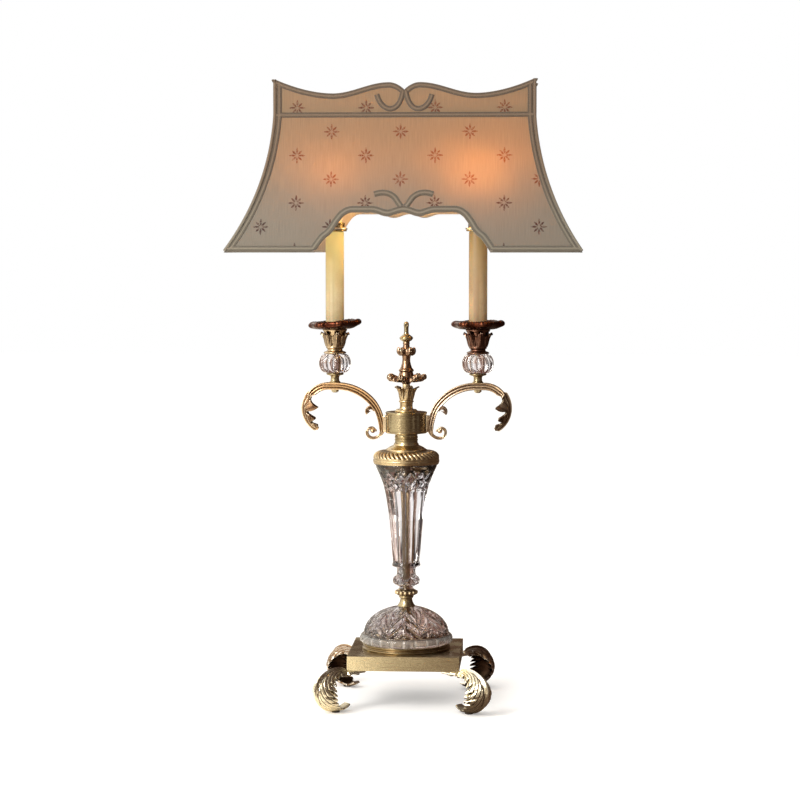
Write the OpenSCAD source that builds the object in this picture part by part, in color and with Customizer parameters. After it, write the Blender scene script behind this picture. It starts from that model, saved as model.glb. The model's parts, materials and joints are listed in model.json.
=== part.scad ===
// Two-light bouillotte lamp: square brass base on four acanthus feet, cut glass dome and column,
// a drum with two scroll arms, candle stations with melon glass balls, and a pagoda shade.
// +X runs along the arms, -Y is the front, Z = 0 is the surface that the felt pads stand on.

/* [Base] */
// Side of the square base pan
plate_w = 135; // [120:1:150]
// Height of the base pan
plate_h = 17.5; // [13:0.5:20]
// Height of the underside of the pan above the table
plate_z = 47.5; // [44:0.5:56]
// Wall of the base pan
plate_wall = 3; // [2:0.5:4]
// Thickness of the ballast slab in the pan
weight_h = 8; // [6:0.5:9]
// Gap between the ballast slab and the pan walls
weight_gap = 2.5; // [1:0.5:5]
// Radius of the cord hole in the bushing at the rear of the pan
cord_hole_r = 3.6; // [3:0.1:4]
// Wall of the cord bushing
bushing_wall = 1.4; // [1:0.1:2]

/* [Feet] */
// Height of the felt pads
pad_h = 2; // [1:0.5:3]
// Radius of the felt pads
pad_r = 5; // [4:0.5:6]
// Reach of a foot scroll beyond the corner of the pan, to the centre of the scroll
foot_reach = 17.5; // [14.5:0.5:20]
// Width of a foot scroll as a share of its height
foot_spread = 1.25; // [1:0.05:1.3]
// Widest half width of a foot leaf
foot_half_w = 19; // [15:0.5:21]
// Thickness of the cast leaf of a foot
foot_leaf_t = 3; // [2.5:0.25:4]
// Thickness of the tab that a foot is screwed on by
foot_tab_t = 4; // [3:0.5:5]
// Width of that tab
foot_tab_w = 16; // [14:0.5:20]
// Shank radius of the foot screws
foot_screw_r = 2; // [1.5:0.25:2.5]

/* [Stem] */
// Outer radius of the threaded center rod
rod_r = 4.9; // [4.5:0.1:5.1]
// Bore radius of the center rod
rod_bore_r = 3.4; // [2.5:0.1:3.8]
// Clearance of the holes that the center rod passes through
rod_gap = 0.25; // [0.1:0.05:0.4]
// Outer radius of the brass seat ring under the dome
seat_ring_r = 54; // [52:0.5:56]
// Height of the seat ring
seat_ring_h = 6.7; // [5:0.1:8]
// Thickness of the felt ring under the glass
gasket_t = 0.7; // [0.5:0.1:1.5]
// Outer radius of the rim of the dome
dome_rim_r = 57; // [55:0.5:60]
// Height of the rim of the dome
dome_rim_h = 10; // [8:0.5:12]
// Outer radius of the dome above its rim
dome_r = 51; // [49:0.5:53]
// Height of the glass dome
dome_h = 43.6; // [40:0.2:48]
// Wall of the glass dome
dome_wall = 6; // [5:0.5:8]
// Height of the brass trumpet on the dome
lower_neck_h = 13; // [11:0.5:16]
// Height of the beaded collar
bead_collar_h = 9; // [8:0.5:11]
// Number of beads around the collar
bead_count = 14; // [10:1:16]
// Height of the glass column
column_h = 156; // [150:1:165]
// Radius of the knop at the foot of the column
knop_r = 17; // [15:0.5:19]
// Radius of the column at its brim
column_top_r = 39.5; // [37:0.5:41]
// Number of long flutes cut in the column
flute_count = 14; // [8:1:16]
// Height of the gadrooned cap on the column
cap_h = 24; // [22:0.5:27]
// How far that cap stands out beyond the column
cap_over = 0.6; // [0.4:0.1:3]
// Height of the neck between cap and drum
upper_neck_h = 13; // [11:0.5:16]
// Radius of that neck
upper_neck_r = 13.9; // [12:0.1:15]

/* [Drum and switch] */
// Outer radius of the drum
drum_r = 25; // [23:0.5:26]
// Height of the drum
drum_h = 24; // [22:0.5:27]
// Wall of the drum
drum_wall = 2.2; // [1.8:0.2:3]
// Radius of the body of the rotary switch
switch_r = 8; // [6.5:0.25:8.5]
// Depth of the body of the rotary switch
switch_depth = 11; // [8:0.5:12]
// Shaft radius of the rotary switch
switch_shaft_r = 2.5; // [2:0.1:3]
// Running clearance of the switch shaft
switch_gap = 0.08; // [0.05:0.01:0.1]
// Radius of the switch knob
switch_knob_r = 6.5; // [5.5:0.25:8]
// Length of the switch knob
switch_knob_l = 11; // [9:0.5:14]

/* [Arms] */
// Distance of the candles from the axis of the lamp
candle_x = 87.3; // [86:0.1:90]
// Outer radius of the long arc of an arm
arm_arc_r = 62; // [58:0.5:64]
// Width of the arm in the plane of its scrolls
arm_w = 9; // [8:0.25:10]
// Depth of the arm from front to back
arm_depth = 11; // [10:0.5:13]
// Outer radius of the drooping end of an arm
arm_end_r = 31; // [28:0.5:33]
// Half width of the acanthus leaf at the end of an arm
arm_leaf_half_w = 11; // [8:0.5:14]
// Thickness of the volute below the root of an arm
volute_t = 3.4; // [3:0.2:4]
// Radius of the leads in the arm grooves
lead_r = 1.3; // [1:0.1:1.5]

/* [Candle stations] */
// Radius of the threaded tubes up through the candle stations
nipple_r = 3; // [2.5:0.1:3.2]
// Height of the turned stem under a glass ball
nozzle_h = 12; // [10:0.5:15]
// Outer radius of the melon glass balls
ball_r = 19.5; // [17:0.5:21]
// Height of the melon glass balls
ball_h = 23; // [20:0.5:26]
// Number of lobes of a melon ball
ball_lobes = 12; // [8:1:14]
// Height of the leaf cups
cup_h = 30; // [28:0.5:33]
// Radius of the petal drip pans
bobeche_r = 29; // [26:0.5:32]
// Number of petals of a drip pan
petals = 6; // [5:1:8]
// Outer radius of the candle covers
candle_r = 11.2; // [10.8:0.1:11.6]
// Length of the candle covers
candle_h = 117.5; // [100:0.5:125]
// Wall of the candle covers
candle_wall = 1.2; // [1:0.1:1.5]
// Radius of the flange on a candle collar, which carries the shade
collar_flange_r = 14.6; // [14.2:0.1:16]
// Outer radius of the brass tube of a candle collar
collar_tube_r = 12.2; // [12:0.1:12.5]
// Largest radius of a bulb
bulb_r = 12; // [10:0.25:12.25]
// Height of a bulb above its collar
bulb_h = 74; // [60:1:80]

/* [Shade] */
// Half width of the shade above the band
shade_top_w = 155; // [145:1:165]
// Half depth of the shade above the band
shade_top_d = 40; // [36:1:48]
// How far the shade flares out at each end
shade_flare_w = 57; // [45:1:65]
// How far the shade flares out at front and back
shade_flare_d = 40; // [30:1:44]
// Height from the lower edge of the shade to the candle collars
shade_drop = 27; // [20:0.5:32]
// Height from the lower edge to the band
shade_band_h = 164; // [150:1:175]
// Height from the band to the corner tips
shade_crown_h = 42; // [36:1:50]
// Height of the arch in the lower edge
arch_h = 47; // [40:1:55]
// Half width of the arch at the lower edge
arch_foot_w = 104; // [95:1:112]
// Half width of the level top of the arch
arch_top_w = 62; // [55:1:70]
// Thickness of the fabric with its lining
fabric_t = 1.4; // [1:0.1:2]
// Width of the braid
braid_w = 9; // [7:0.5:11]
// Thickness of the braid
braid_t = 1.1; // [0.8:0.1:1.5]
// Wire radius of the shade frame
wire_r = 1.5; // [1.2:0.1:2]
// Gap between a ring of the frame and the bulb that it passes over
ring_gap = 0.8; // [0.5:0.1:1]

/* [Hidden] */

$fn = 72;
brass = "#8f8052";
bronze = "#6d4a33";
crystal = "#cfd8da";
steel = "#8a8d90";
ivory = "#f1e3b6";
silk = "#bd957d";
braid = "#78735f";

// heights along the stem, each from the one below it
plate_top_z = plate_z + plate_h;
gasket_z = plate_top_z + seat_ring_h;
dome_z = gasket_z + gasket_t;
lower_neck_z = dome_z + dome_h;
bead_z = lower_neck_z + lower_neck_h;
column_z = bead_z + bead_collar_h;
column_top_z = column_z + column_h;
cap_lip = 1.5;
cap_z = column_top_z - cap_lip;
upper_neck_z = cap_z + cap_h;
drum_z = upper_neck_z + upper_neck_h;
drum_top_z = drum_z + drum_h;
lid_t = 2;
finial_z = drum_top_z + lid_t;

// feet, laid out along the diagonals of the pan
foot_r = (plate_z + 4 - pad_h) / 2 + 0.4;
foot_z = pad_h - 0.4 + foot_r;
foot_d = plate_w / 2 * sqrt(2) + foot_reach;
foot_root_angle = 124;
foot_toe_angle = -128;
foot_screw_d = foot_d - foot_reach - 15;
foot_screw_l = 16;
boss_r = 8;
foot_toe_w = 6;
foot_lobes = 7;

// arms, drawn for the right hand side
arm_cx = 85 * candle_x / 87.3;
arm_cz = drum_z - 0.4;
arm_top_z = arm_cz + arm_arc_r;
arm_mid_r = arm_arc_r - arm_w / 2;
arm_end_cx = arm_cx + 10.3;
arm_end_cz = arm_top_z - arm_end_r;
arm_end_mid_r = arm_end_r - arm_w / 2;
arm_screw_r = 1.75;
arm_screw_bite = 4;
arm_screw_z = [drum_z + 7, drum_z + 17];

// heights along a candle station
nozzle_z = arm_top_z;
ball_z = nozzle_z + nozzle_h;
cup_z = ball_z + ball_h;
bobeche_z = cup_z + cup_h;
bobeche_t = 1.4;
candle_z = bobeche_z + bobeche_t;
collar_z = candle_z + candle_h;
collar_flange_t = 2;
collar_h = 11;
socket_h = 52;
socket_r = candle_r - candle_wall - 0.5;
socket_z = collar_z - socket_h + 1;
bulb_base_r = 6;
bulb_base_h = 22;
bulb_gap = 0.08;
bulb_low_z = collar_z + collar_flange_t + 1;

// shade, standing on the collar flanges
ring_z = collar_z + collar_flange_t;
ring_bore_r = bulb_r + ring_gap;
shade_z = ring_z - shade_drop;
band_z = shade_z + shade_band_h;
crown_z = band_z + shade_crown_h;
flare_start = 3.5;
profile_steps = 10;

// ---------------------------------------------------------------- shared shapes

// Points of an arc about c, from angle a to angle b.
function arc(c, r, a, b, n) = [for (i = [0:n]) c + r * [cos(a + (b - a) * i / n), sin(a + (b - a) * i / n)]];

// Smooth step from 0 to 1.
function ease(u) = (1 - cos(180 * max(0, min(1, u)))) / 2;

// Triangles between the rings of a loft, ring by ring.
function ring_faces(rings, count, wrap) = [
    for (i = [0:rings - (wrap ? 1 : 2)], j = [0:count - 1])
        let (a = i * count + j, b = i * count + (j + 1) % count,
             c = ((i + 1) % rings) * count + j, d = ((i + 1) % rings) * count + (j + 1) % count)
        each [[a, d, b], [a, c, d]]
];

// Cap over one ring, as a strip of triangles between its first and its second half.
function cap_faces(count, first) = [
    for (i = [0:count / 2 - 1]) let (a = i, b = i + 1, c = count - 1 - i, d = count - 2 - i)
        each concat(i == count / 2 - 1 ? [] : [[first + b, first + d, first + c]],
                    b == c ? [] : [[first + a, first + b, first + c]])
];

// Solid through closed rings of points, capped at both ends, or closed on itself when wrapped.
module loft(rings, wrap = false) {
    count = len(rings[0]);
    last = (len(rings) - 1) * count;
    caps = wrap ? [] : concat(
        cap_faces(count, 0),
        [for (f = cap_faces(count, last)) [f[2], f[1], f[0]]]
    );
    polyhedron(points = [for (r = rings) each r],
               faces = concat(ring_faces(len(rings), count, wrap), caps), convexity = 8);
}

// Turned shape with lobes: each profile row is [radius, height, lobe depth, lobe lift].
// The profile is a closed loop, run anticlockwise as seen with +X to the right and Z up.
module lobed_turning(profile, lobes, around) {
    loft([for (p = profile) [
        for (j = [0:around - 1])
            let (phi = 360 * j / around, wave = cos(lobes * phi))
            [(p[0] + p[2] * wave) * cos(phi), (p[0] + p[2] * wave) * sin(phi), p[1] + p[3] * wave]
    ]], wrap = true);
}

// Ring of points across a cast strap or leaf that follows an arc about c in the XZ plane, at angle a.
// r is the radius of its outer face and thick its thickness there. The edges can curl in towards c,
// be cut back, lean forward along the arc, and carry a rib or a groove along each flank. The arc is
// spread along X.
function leaf_ring(
    c, r, a, half_w, thick, curl = 0, cut = 0, lean = 0, rib = 0, front = 0, back = 0, spread = 1
) =
    let (
        n = leaf_points,
        side = function(t, depth, y) let (
            d = r - curl * t * t - depth, w = a + lean * t * t
        ) [c[0] + spread * d * cos(w), y, c[1] + d * sin(w)],
        wide = function(t) half_w * t * (1 - cut * pow(abs(t), 3))
    ) concat(
        [for (j = [0:n]) let (t = 2 * j / n - 1)
            side(t, -rib * cos(540 * t) * (1 - abs(t)), wide(t))],
        [side(1, thick / 2, wide(1) - back)],
        [for (j = [n:-1:0]) let (t = 2 * j / n - 1)
            side(t, thick * (1 - (curl > 0 ? 0.3 : 0) * t * t), wide(t) * 0.97)],
        [side(-1, thick / 2, wide(-1) + front)]
    );
leaf_points = 6;

// The same list from its end to its start.
function reversed(v) = [for (i = [len(v) - 1:-1:0]) v[i]];

// Ring or disc with a bore, from z up.
module washer(r, bore, z, h) {
    translate([0, 0, z])
        difference() {
            cylinder(r = r, h = h);
            translate([0, 0, -1]) cylinder(r = bore, h = h + 2);
        }
}

// Turned shape about the stem, from points [radius, height].
module turning(points) {
    rotate_extrude() polygon(points);
}

// Copies to the four feet: the child is drawn along +X and turned to each diagonal.
module at_foot(angle) {
    rotate([0, 0, angle]) children();
}

// Places the child, drawn at the origin, on a candle station. side is 1 or -1.
module at_candle(side) {
    translate([side * candle_x, 0, 0]) children();
}

// ---------------------------------------------------------------- base and feet

washer_r = 14;
washer_t = 1.6;
nut_h = 5;
pan_floor_z = plate_top_z - plate_wall;
bushing_r = cord_hole_r + bushing_wall;
cord_z = pan_floor_z - bushing_r - 0.5;

module base_pan() {
    color(brass)
        difference() {
            translate([-plate_w / 2, -plate_w / 2, plate_z]) cube([plate_w, plate_w, plate_h]);
            difference() {
                translate([plate_wall - plate_w / 2, plate_wall - plate_w / 2, plate_z - 1])
                    cube([plate_w - 2 * plate_wall, plate_w - 2 * plate_wall, plate_h - plate_wall + 1]);
                for (a = [45:90:315])
                    rotate([0, 0, a]) translate([foot_screw_d, 0, plate_z - 2])
                        cylinder(r = boss_r, h = plate_h);
            }
            translate([0, 0, plate_z]) cylinder(r = rod_r + rod_gap, h = plate_h + 1);
            for (a = [45:90:315])
                rotate([0, 0, a]) translate([foot_screw_d, 0, plate_z - 1])
                    cylinder(r = foot_screw_r + 0.05, h = foot_screw_l - foot_tab_t + 1.5);
            translate([0, plate_w / 2 - plate_wall - 1, cord_z]) rotate([-90, 0, 0])
                cylinder(r = bushing_r + 0.05, h = plate_wall + 2);
        }
}

module base_weight() {
    side = plate_w - 2 * plate_wall - 2 * weight_gap;
    slot_w = 2 * bushing_r + 4;
    color("dimgray")
        difference() {
            translate([-side / 2, -side / 2, pan_floor_z - weight_h]) cube([side, side, weight_h]);
            translate([0, 0, plate_z - 2]) cylinder(r = rod_r + rod_gap, h = plate_h);
            for (a = [45:90:315])
                rotate([0, 0, a]) translate([foot_screw_d, 0, plate_z - 2])
                    union() {
                        cylinder(r = boss_r + 1, h = plate_h);
                        translate([0, -boss_r - 1, 0]) cube([side, 2 * boss_r + 2, plate_h]);
                    }
            translate([-slot_w / 2, washer_r + 1, plate_z - 2]) cube([slot_w, side, plate_h]);
        }
}

module cord_bushing() {
    inside_l = 3;
    lip = 1.5;
    color("#4a4038")
        translate([0, plate_w / 2, cord_z]) rotate([90, 0, 0])
            difference() {
                union() {
                    translate([0, 0, -lip]) cylinder(r = bushing_r + 1.2, h = lip);
                    cylinder(r = bushing_r, h = plate_wall + inside_l);
                }
                translate([0, 0, -lip - 1]) cylinder(r = cord_hole_r, h = plate_wall + inside_l + lip + 2);
            }
}

// Stations of a foot leaf from its root under the pan to its toe: it swells to its full width at the
// outside of the scroll and is cut into lobes all along.
foot_steps = 26;
function foot_station(s) = let (
        swell = s < 0.45 ? ease(s / 0.45) : ease((1 - s) / 0.55),
        narrow = s < 0.45 ? foot_tab_w / 2 : foot_toe_w
    ) leaf_ring(
        [foot_d, foot_z], foot_r, foot_root_angle + (foot_toe_angle - foot_root_angle) * s,
        narrow + (foot_half_w - narrow) * swell, foot_leaf_t,
        curl = 7 * sin(180 * min(1, 0.12 + s)), cut = 0.3 * pow(sin(180 * foot_lobes * s), 2),
        lean = -9 * sin(180 * s), rib = 0.8, spread = foot_spread
    );

module foot_leaf() {
    tab_from = foot_screw_d - foot_tab_w / 2;
    tab_to = foot_d + foot_spread * (foot_r - foot_leaf_t / 2) * cos(foot_root_angle) + 1.5;
    difference() {
        union() {
            loft([for (i = [0:foot_steps]) reversed(foot_station(i / foot_steps))]);
            translate([tab_from, -foot_tab_w / 2, plate_z - foot_tab_t])
                cube([tab_to - tab_from, foot_tab_w, foot_tab_t]);
        }
        translate([foot_d - 60, -40, pad_h - 20]) cube([120, 80, 20]);
        translate([foot_d - 60, -40, plate_z]) cube([60 - foot_reach + 1, 80, 20]);
        translate([foot_screw_d, 0, 0]) cylinder(r = foot_screw_r + 0.2, h = plate_z + 1);
    }
}

module foot_front_left() { color(brass) at_foot(225) foot_leaf(); }
module foot_front_right() { color(brass) at_foot(315) foot_leaf(); }
module foot_back_left() { color(brass) at_foot(135) foot_leaf(); }
module foot_back_right() { color(brass) at_foot(45) foot_leaf(); }

module foot_screws() {
    head_h = 2.4;
    color(steel)
        for (a = [45:90:315])
            at_foot(a) translate([foot_screw_d, 0, plate_z - foot_tab_t - head_h])
                union() {
                    cylinder(r = 2 * foot_screw_r, h = head_h);
                    cylinder(r = foot_screw_r, h = foot_screw_l - head_h);
                }
}

module foot_pads() {
    color("#3a332c")
        for (a = [45:90:315])
            at_foot(a) translate([foot_d, 0, 0]) cylinder(r = pad_r, h = pad_h);
}

// ---------------------------------------------------------------- stem

rod_low_z = pan_floor_z - weight_h - washer_t - nut_h - 2;
rod_top_z = finial_z + 9;

module rod_washer() {
    color(steel) washer(washer_r, rod_r + rod_gap, pan_floor_z - weight_h - washer_t, washer_t);
}

module rod_nut() {
    color(steel)
        translate([0, 0, pan_floor_z - weight_h - washer_t - nut_h])
            difference() {
                cylinder(r = 9, h = nut_h, $fn = 6);
                translate([0, 0, -1]) cylinder(r = rod_r + 0.05, h = nut_h + 2);
            }
}

module center_rod() {
    color("#a5895a") washer(rod_r, rod_bore_r, rod_low_z, rod_top_z - rod_low_z);
}

module dome_seat_ring() {
    z = plate_top_z;
    color(brass)
        turning([
            [rod_r + rod_gap, z], [seat_ring_r - 1, z], [seat_ring_r, z + 1],
            [seat_ring_r, z + seat_ring_h - 1.5], [seat_ring_r - 1.5, z + seat_ring_h],
            [dome_r - dome_wall - 2, z + seat_ring_h], [dome_r - dome_wall - 2, z + 2],
            [rod_r + rod_gap, z + 2]
        ]);
}

module dome_gasket() {
    color("#3a332c") washer(seat_ring_r - 2, dome_r - dome_wall - 1, gasket_z, gasket_t);
}

// Outer radius of the dome at height u of its body, from 0 to 1.
function dome_out(u) = dome_r * sqrt(1 - pow(u, 2) * 0.955);

module glass_dome() {
    body_h = dome_h - dome_rim_h;
    steps = 12;
    inner_h = body_h - dome_wall;
    outside = [for (i = [0:steps]) [dome_out(i / steps), dome_rim_h + body_h * i / steps]];
    inside = [for (i = [steps:-1:0]) [
        max(rod_r + rod_gap, dome_out(i / steps) - dome_wall), dome_rim_h + inner_h * i / steps
    ]];
    cuts = 16;
    color(crystal, 0.5)
        translate([0, 0, dome_z])
            difference() {
                turning(concat(
                    [[dome_r - dome_wall, 0], [dome_rim_r - 2, 0]],
                    arc([dome_rim_r - 3, dome_rim_h / 2], 3, -60, 60, 6),
                    [[dome_rim_r - 4, dome_rim_h]],
                    outside,
                    [[rod_r + rod_gap, dome_h], [rod_r + rod_gap, dome_rim_h + inner_h]],
                    inside
                ));
                for (i = [0:cuts - 1])
                    rotate([0, 0, 360 * i / cuts]) translate([dome_r, 0, dome_rim_h + 1])
                        rotate([0, -38, 0]) cylinder(r = 1.6, h = 34, $fn = 6);
            }
}

module lower_neck() {
    h = lower_neck_h;
    flare_r = 11;
    waist_r = 7.3;
    color(brass)
        difference() {
            translate([0, 0, lower_neck_z])
                turning(concat(
                    [[0, 0], [flare_r, 0], [flare_r, 1.2]],
                    [for (i = [0:8]) [waist_r + (flare_r - 1 - waist_r) * pow(1 - i / 8, 2), 1.6 + (h - 5) * i / 8]],
                    [[waist_r + 1.4, h - 1.8], [waist_r + 1.4, h], [0, h]]
                ));
            translate([0, 0, lower_neck_z - 1]) cylinder(r = rod_r + rod_gap, h = h + 2);
        }
}

module beaded_collar() {
    h = bead_collar_h;
    bead_r = 3;
    core_r = 12;
    color(brass)
        difference() {
            translate([0, 0, bead_z])
                union() {
                    turning([
                        [0, 0], [core_r - 3, 0], [core_r - 1.5, 1.2], [core_r, 2],
                        [core_r, h - 2], [core_r - 1.5, h - 1.2], [core_r - 3, h], [0, h]
                    ]);
                    for (i = [0:bead_count - 1])
                        rotate([0, 0, 360 * (i + 0.5) / bead_count]) translate([core_r - 0.2, 0, h / 2])
                            sphere(r = bead_r - 0.6, $fn = 24);
                }
            translate([0, 0, bead_z - 1]) cylinder(r = rod_r + rod_gap, h = h + 2);
        }
}

// Outline of the fluted part of the column, as [share of its height, radius]. Its ends lie inside the
// turned rings below and above it.
column_stations = [
    [0, 15], [0.03, 16.3], [0.14, 17.8], [0.27, 18.7], [0.48, 21], [0.69, 25], [0.8, 27.8],
    [0.87, 31.2], [0.93, 35], [0.98, column_top_r - 1.9], [1, column_top_r - 1.6]
];

module glass_column() {
    h = column_h;
    fluted_from = 30;
    fluted_h = h - 1.5 - fluted_from;
    brim_h = 3;
    around = 4 * flute_count;
    flute_depth = 1.3;
    color(crystal, 0.5)
        translate([0, 0, column_z])
            difference() {
                union() {
                    turning(concat(
                        [[0, 0], [8.5, 0], [8.5, 2.5], [11, 4]],
                        arc([knop_r - 6, 10], 6, -70, 70, 8),
                        [[11.3, 17], [11.3, 26], [14, 27.5], [17.1, 28], [17.1, 30], [16.6, 31], [0, 31]]
                    ));
                    loft([for (s = column_stations) [
                        for (j = [0:around - 1])
                            let (a = 360 * (j + 0.5) / around, r = s[1] - flute_depth * pow(sin(45 * j), 2))
                            [r * cos(a), r * sin(a), fluted_from + fluted_h * s[0]]
                    ]]);
                    translate([0, 0, h - brim_h])
                        turning([[0, 0], [column_top_r - 1, 0], [column_top_r, 1], [column_top_r, brim_h],
                                 [0, brim_h]]);
                }
                translate([0, 0, -1]) cylinder(r = rod_r + 3 * rod_gap, h = h + 2);
            }
}

module vase_cap() {
    h = cap_h;
    r = column_top_r + cap_over;
    step_r = 0.62 * r;
    shoulder_h = h - 9;
    color(brass)
        difference() {
            translate([0, 0, cap_z])
                turning(concat(
                    [[0, cap_lip], [column_top_r + 0.1, cap_lip], [column_top_r + 0.1, 0], [r, 0]],
                    [[r + 0.4, 1.6], [r + 0.4, 3], [r - 0.3, 4]],
                    [for (i = [1:8]) let (u = i / 8)
                        [step_r + (r - 0.6 - step_r) * sqrt(1 - u * u), 4.5 + (shoulder_h - 4.5) * u]],
                    [[step_r, h - 8], [step_r, h - 6.6], [step_r - 1.5, h - 6], [upper_neck_r + 3.5, h - 2.4],
                     [upper_neck_r + 1.2, h], [0, h]]
                ));
            translate([0, 0, cap_z - 1]) cylinder(r = rod_r + rod_gap, h = h + 2);
        }
}

module upper_neck() {
    h = upper_neck_h;
    r = upper_neck_r;
    color(brass)
        difference() {
            translate([0, 0, upper_neck_z])
                turning([
                    [0, 0], [r, 0], [r, h / 2 - 2.4], [r - 0.4, h / 2 - 2],
                    [r + 0.4, h / 2 - 1.4], [r + 0.4, h / 2 - 0.6], [r - 0.3, h / 2], [r + 0.4, h / 2 + 0.6],
                    [r + 0.4, h / 2 + 1.4], [r - 0.4, h / 2 + 2], [r - 0.4, h - 2], [r + 0.8, h - 1.2],
                    [r + 0.8, h], [0, h]
                ]);
            translate([0, 0, upper_neck_z - 1]) cylinder(r = rod_r + rod_gap, h = h + 2);
        }
}

// ---------------------------------------------------------------- drum and switch

switch_z = drum_z + drum_h / 2;
drum_bore_r = drum_r - drum_wall;
switch_thread_r = switch_shaft_r + 1.8;
switch_nut_t = 2.4;
switch_front_y = drum_bore_r * 0.93 - switch_depth;

module arm_drum() {
    rim = 1;
    color(brass)
        difference() {
            translate([0, 0, drum_z])
                turning([
                    [0, 0], [drum_r, 0], [drum_r, rim], [drum_r - 0.7, rim + 0.6],
                    [drum_r - 0.7, drum_h - rim - 0.6], [drum_r, drum_h - rim], [drum_r, drum_h],
                    [drum_bore_r, drum_h], [drum_bore_r, drum_wall], [0, drum_wall]
                ]);
            translate([0, 0, drum_z - 1]) cylinder(r = rod_r + rod_gap, h = drum_wall + 2);
            translate([0, drum_bore_r - 4, switch_z]) rotate([-90, 0, 0])
                cylinder(r = switch_thread_r + 0.1, h = 10);
            for (z = arm_screw_z)
                translate([-drum_r - 2, 0, z]) rotate([0, 90, 0])
                    cylinder(r = arm_screw_r + 0.1, h = 2 * drum_r + 4);
            for (side = [1, -1])
                translate([side * drum_r - 5, lead_y, lead_entry_z]) rotate([0, 90, 0])
                    cylinder(r = lead_r + 0.7, h = 10);
        }
}

module drum_lid() {
    color(brass)
        difference() {
            translate([0, 0, drum_top_z])
                turning([
                    [0, 0], [drum_r + 0.6, 0], [drum_r + 0.6, lid_t - 0.6], [drum_r - 0.2, lid_t], [0, lid_t]
                ]);
            translate([0, 0, drum_top_z - 1]) cylinder(r = rod_r + rod_gap, h = lid_t + 2);
        }
}

module switch_body() {
    thread_l = drum_r + switch_nut_t + 0.4 - switch_front_y;
    color("#2f2b28")
        translate([0, switch_front_y, switch_z]) rotate([-90, 0, 0])
            difference() {
                union() {
                    cylinder(r = switch_r, h = switch_depth);
                    cylinder(r = switch_thread_r, h = thread_l);
                }
                translate([0, 0, 2]) cylinder(r = switch_shaft_r + switch_gap, h = thread_l);
            }
}

module switch_nut() {
    color(brass)
        translate([0, drum_r, switch_z]) rotate([-90, 0, 0])
            difference() {
                cylinder(r = switch_thread_r + 2.6, h = switch_nut_t, $fn = 6);
                translate([0, 0, -1]) cylinder(r = switch_thread_r + 0.05, h = switch_nut_t + 2);
            }
}

module switch_knob() {
    shaft_from = switch_front_y + 4;
    knob_from = drum_r + switch_nut_t + 0.8;
    grooves = 12;
    color(brass)
        translate([0, shaft_from, switch_z]) rotate([-90, 0, 0])
            difference() {
                union() {
                    cylinder(r = switch_shaft_r, h = knob_from - shaft_from + 1);
                    translate([0, 0, knob_from - shaft_from])
                        turning([
                            [0, 0], [switch_knob_r - 1, 0], [switch_knob_r, 1],
                            [switch_knob_r, switch_knob_l - 2], [switch_knob_r - 2, switch_knob_l],
                            [0, switch_knob_l]
                        ]);
                }
                for (i = [0:grooves - 1])
                    rotate([0, 0, 360 * i / grooves])
                        translate([switch_knob_r + 0.5, 0, knob_from - shaft_from - 1])
                            cylinder(r = 1, h = switch_knob_l - 1, $fn = 8);
            }
}

// ---------------------------------------------------------------- finial

cup_base_h = 3;
cup_tube_h = 9;
leaf_cup_h = 19;
finial_neck_h = 6;
dish_z = finial_z + cup_base_h + cup_tube_h + leaf_cup_h - 3 + finial_neck_h;
dish_h = 15;
baluster_z = dish_z + dish_h;
baluster_h = 36;
knob_z = baluster_z + baluster_h;
finial_stud_r = 1.8;

module finial_leaf_cup() {
    top = cup_base_h + cup_tube_h;
    neck_top = dish_z - finial_z;
    color(brass)
        translate([0, 0, finial_z])
            difference() {
                union() {
                    turning([
                        [0, 0], [14, 0], [14, 1.6], [12.5, cup_base_h], [8, cup_base_h],
                        [7.6, cup_base_h + cup_tube_h / 2], [8.2, top], [9, top + 1], [8, top + 2],
                        [7.4, top + 4], [4.5, top + 14], [4.5, neck_top], [0, neck_top]
                    ]);
                    lobed_turning([
                        [5.5, top + 1, 0, 0], [8, top + 1.5, 0, 0], [9, top + 6, 0.3, 0],
                        [9.6, top + 12, 1, 0], [11.6, top + 16.5, 2, 0.6], [13, top + 17.5, 2.4, 1],
                        [11, top + 17.4, 2, 1], [8, top + 12, 1, 0], [6, top + 6, 0.3, 0]
                    ], 5, 30);
                }
                translate([0, 0, -1]) cylinder(r = rod_r + 0.05, h = rod_top_z - finial_z + 1.5);
                cylinder(r = finial_stud_r + 0.05, h = neck_top + 1);
            }
}

module finial_dish() {
    color(bronze)
        translate([0, 0, dish_z])
            difference() {
                union() {
                    turning([[0, 0], [5, 0], [6.5, 3], [10, 6.5], [10, 8.5], [8, dish_h], [0, dish_h]]);
                    lobed_turning([
                        [6, 2.5, 0, 0], [11, 3.5, 0.6, 0.2], [17, 5.5, 1.4, 0.8], [22, 8.5, 1.8, 1.4],
                        [23, 9.8, 1.8, 1.4], [19, 9.6, 1.4, 1], [12, 8.8, 0.6, 0.2], [6, 8, 0, 0]
                    ], 7, 35);
                }
                translate([0, 0, -1]) cylinder(r = finial_stud_r + 0.05, h = dish_h + 2);
            }
}

module finial_baluster() {
    petal_z = 21;
    color(bronze)
        translate([0, 0, baluster_z])
            difference() {
                union() {
                    turning([
                        [0, 0], [9, 0], [9.6, 1.5], [9, 3], [7.6, 4], [6.2, 7], [5.2, 11], [4.8, 15],
                        [4.8, petal_z + 1], [4.2, petal_z + 9], [3.8, petal_z + 12], [4, baluster_h], [0, baluster_h]
                    ]);
                    lobed_turning([
                        [4, petal_z, 0, 0], [8, petal_z + 0.6, 0.8, 0], [10, petal_z + 3, 1.2, 0],
                        [10.2, petal_z + 6, 1.2, 0], [8, petal_z + 8, 0.8, 0], [3.8, petal_z + 7.6, 0, 0]
                    ], 6, 30);
                }
                translate([0, 0, -1]) cylinder(r = finial_stud_r + 0.05, h = baluster_h + 2);
            }
}

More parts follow.
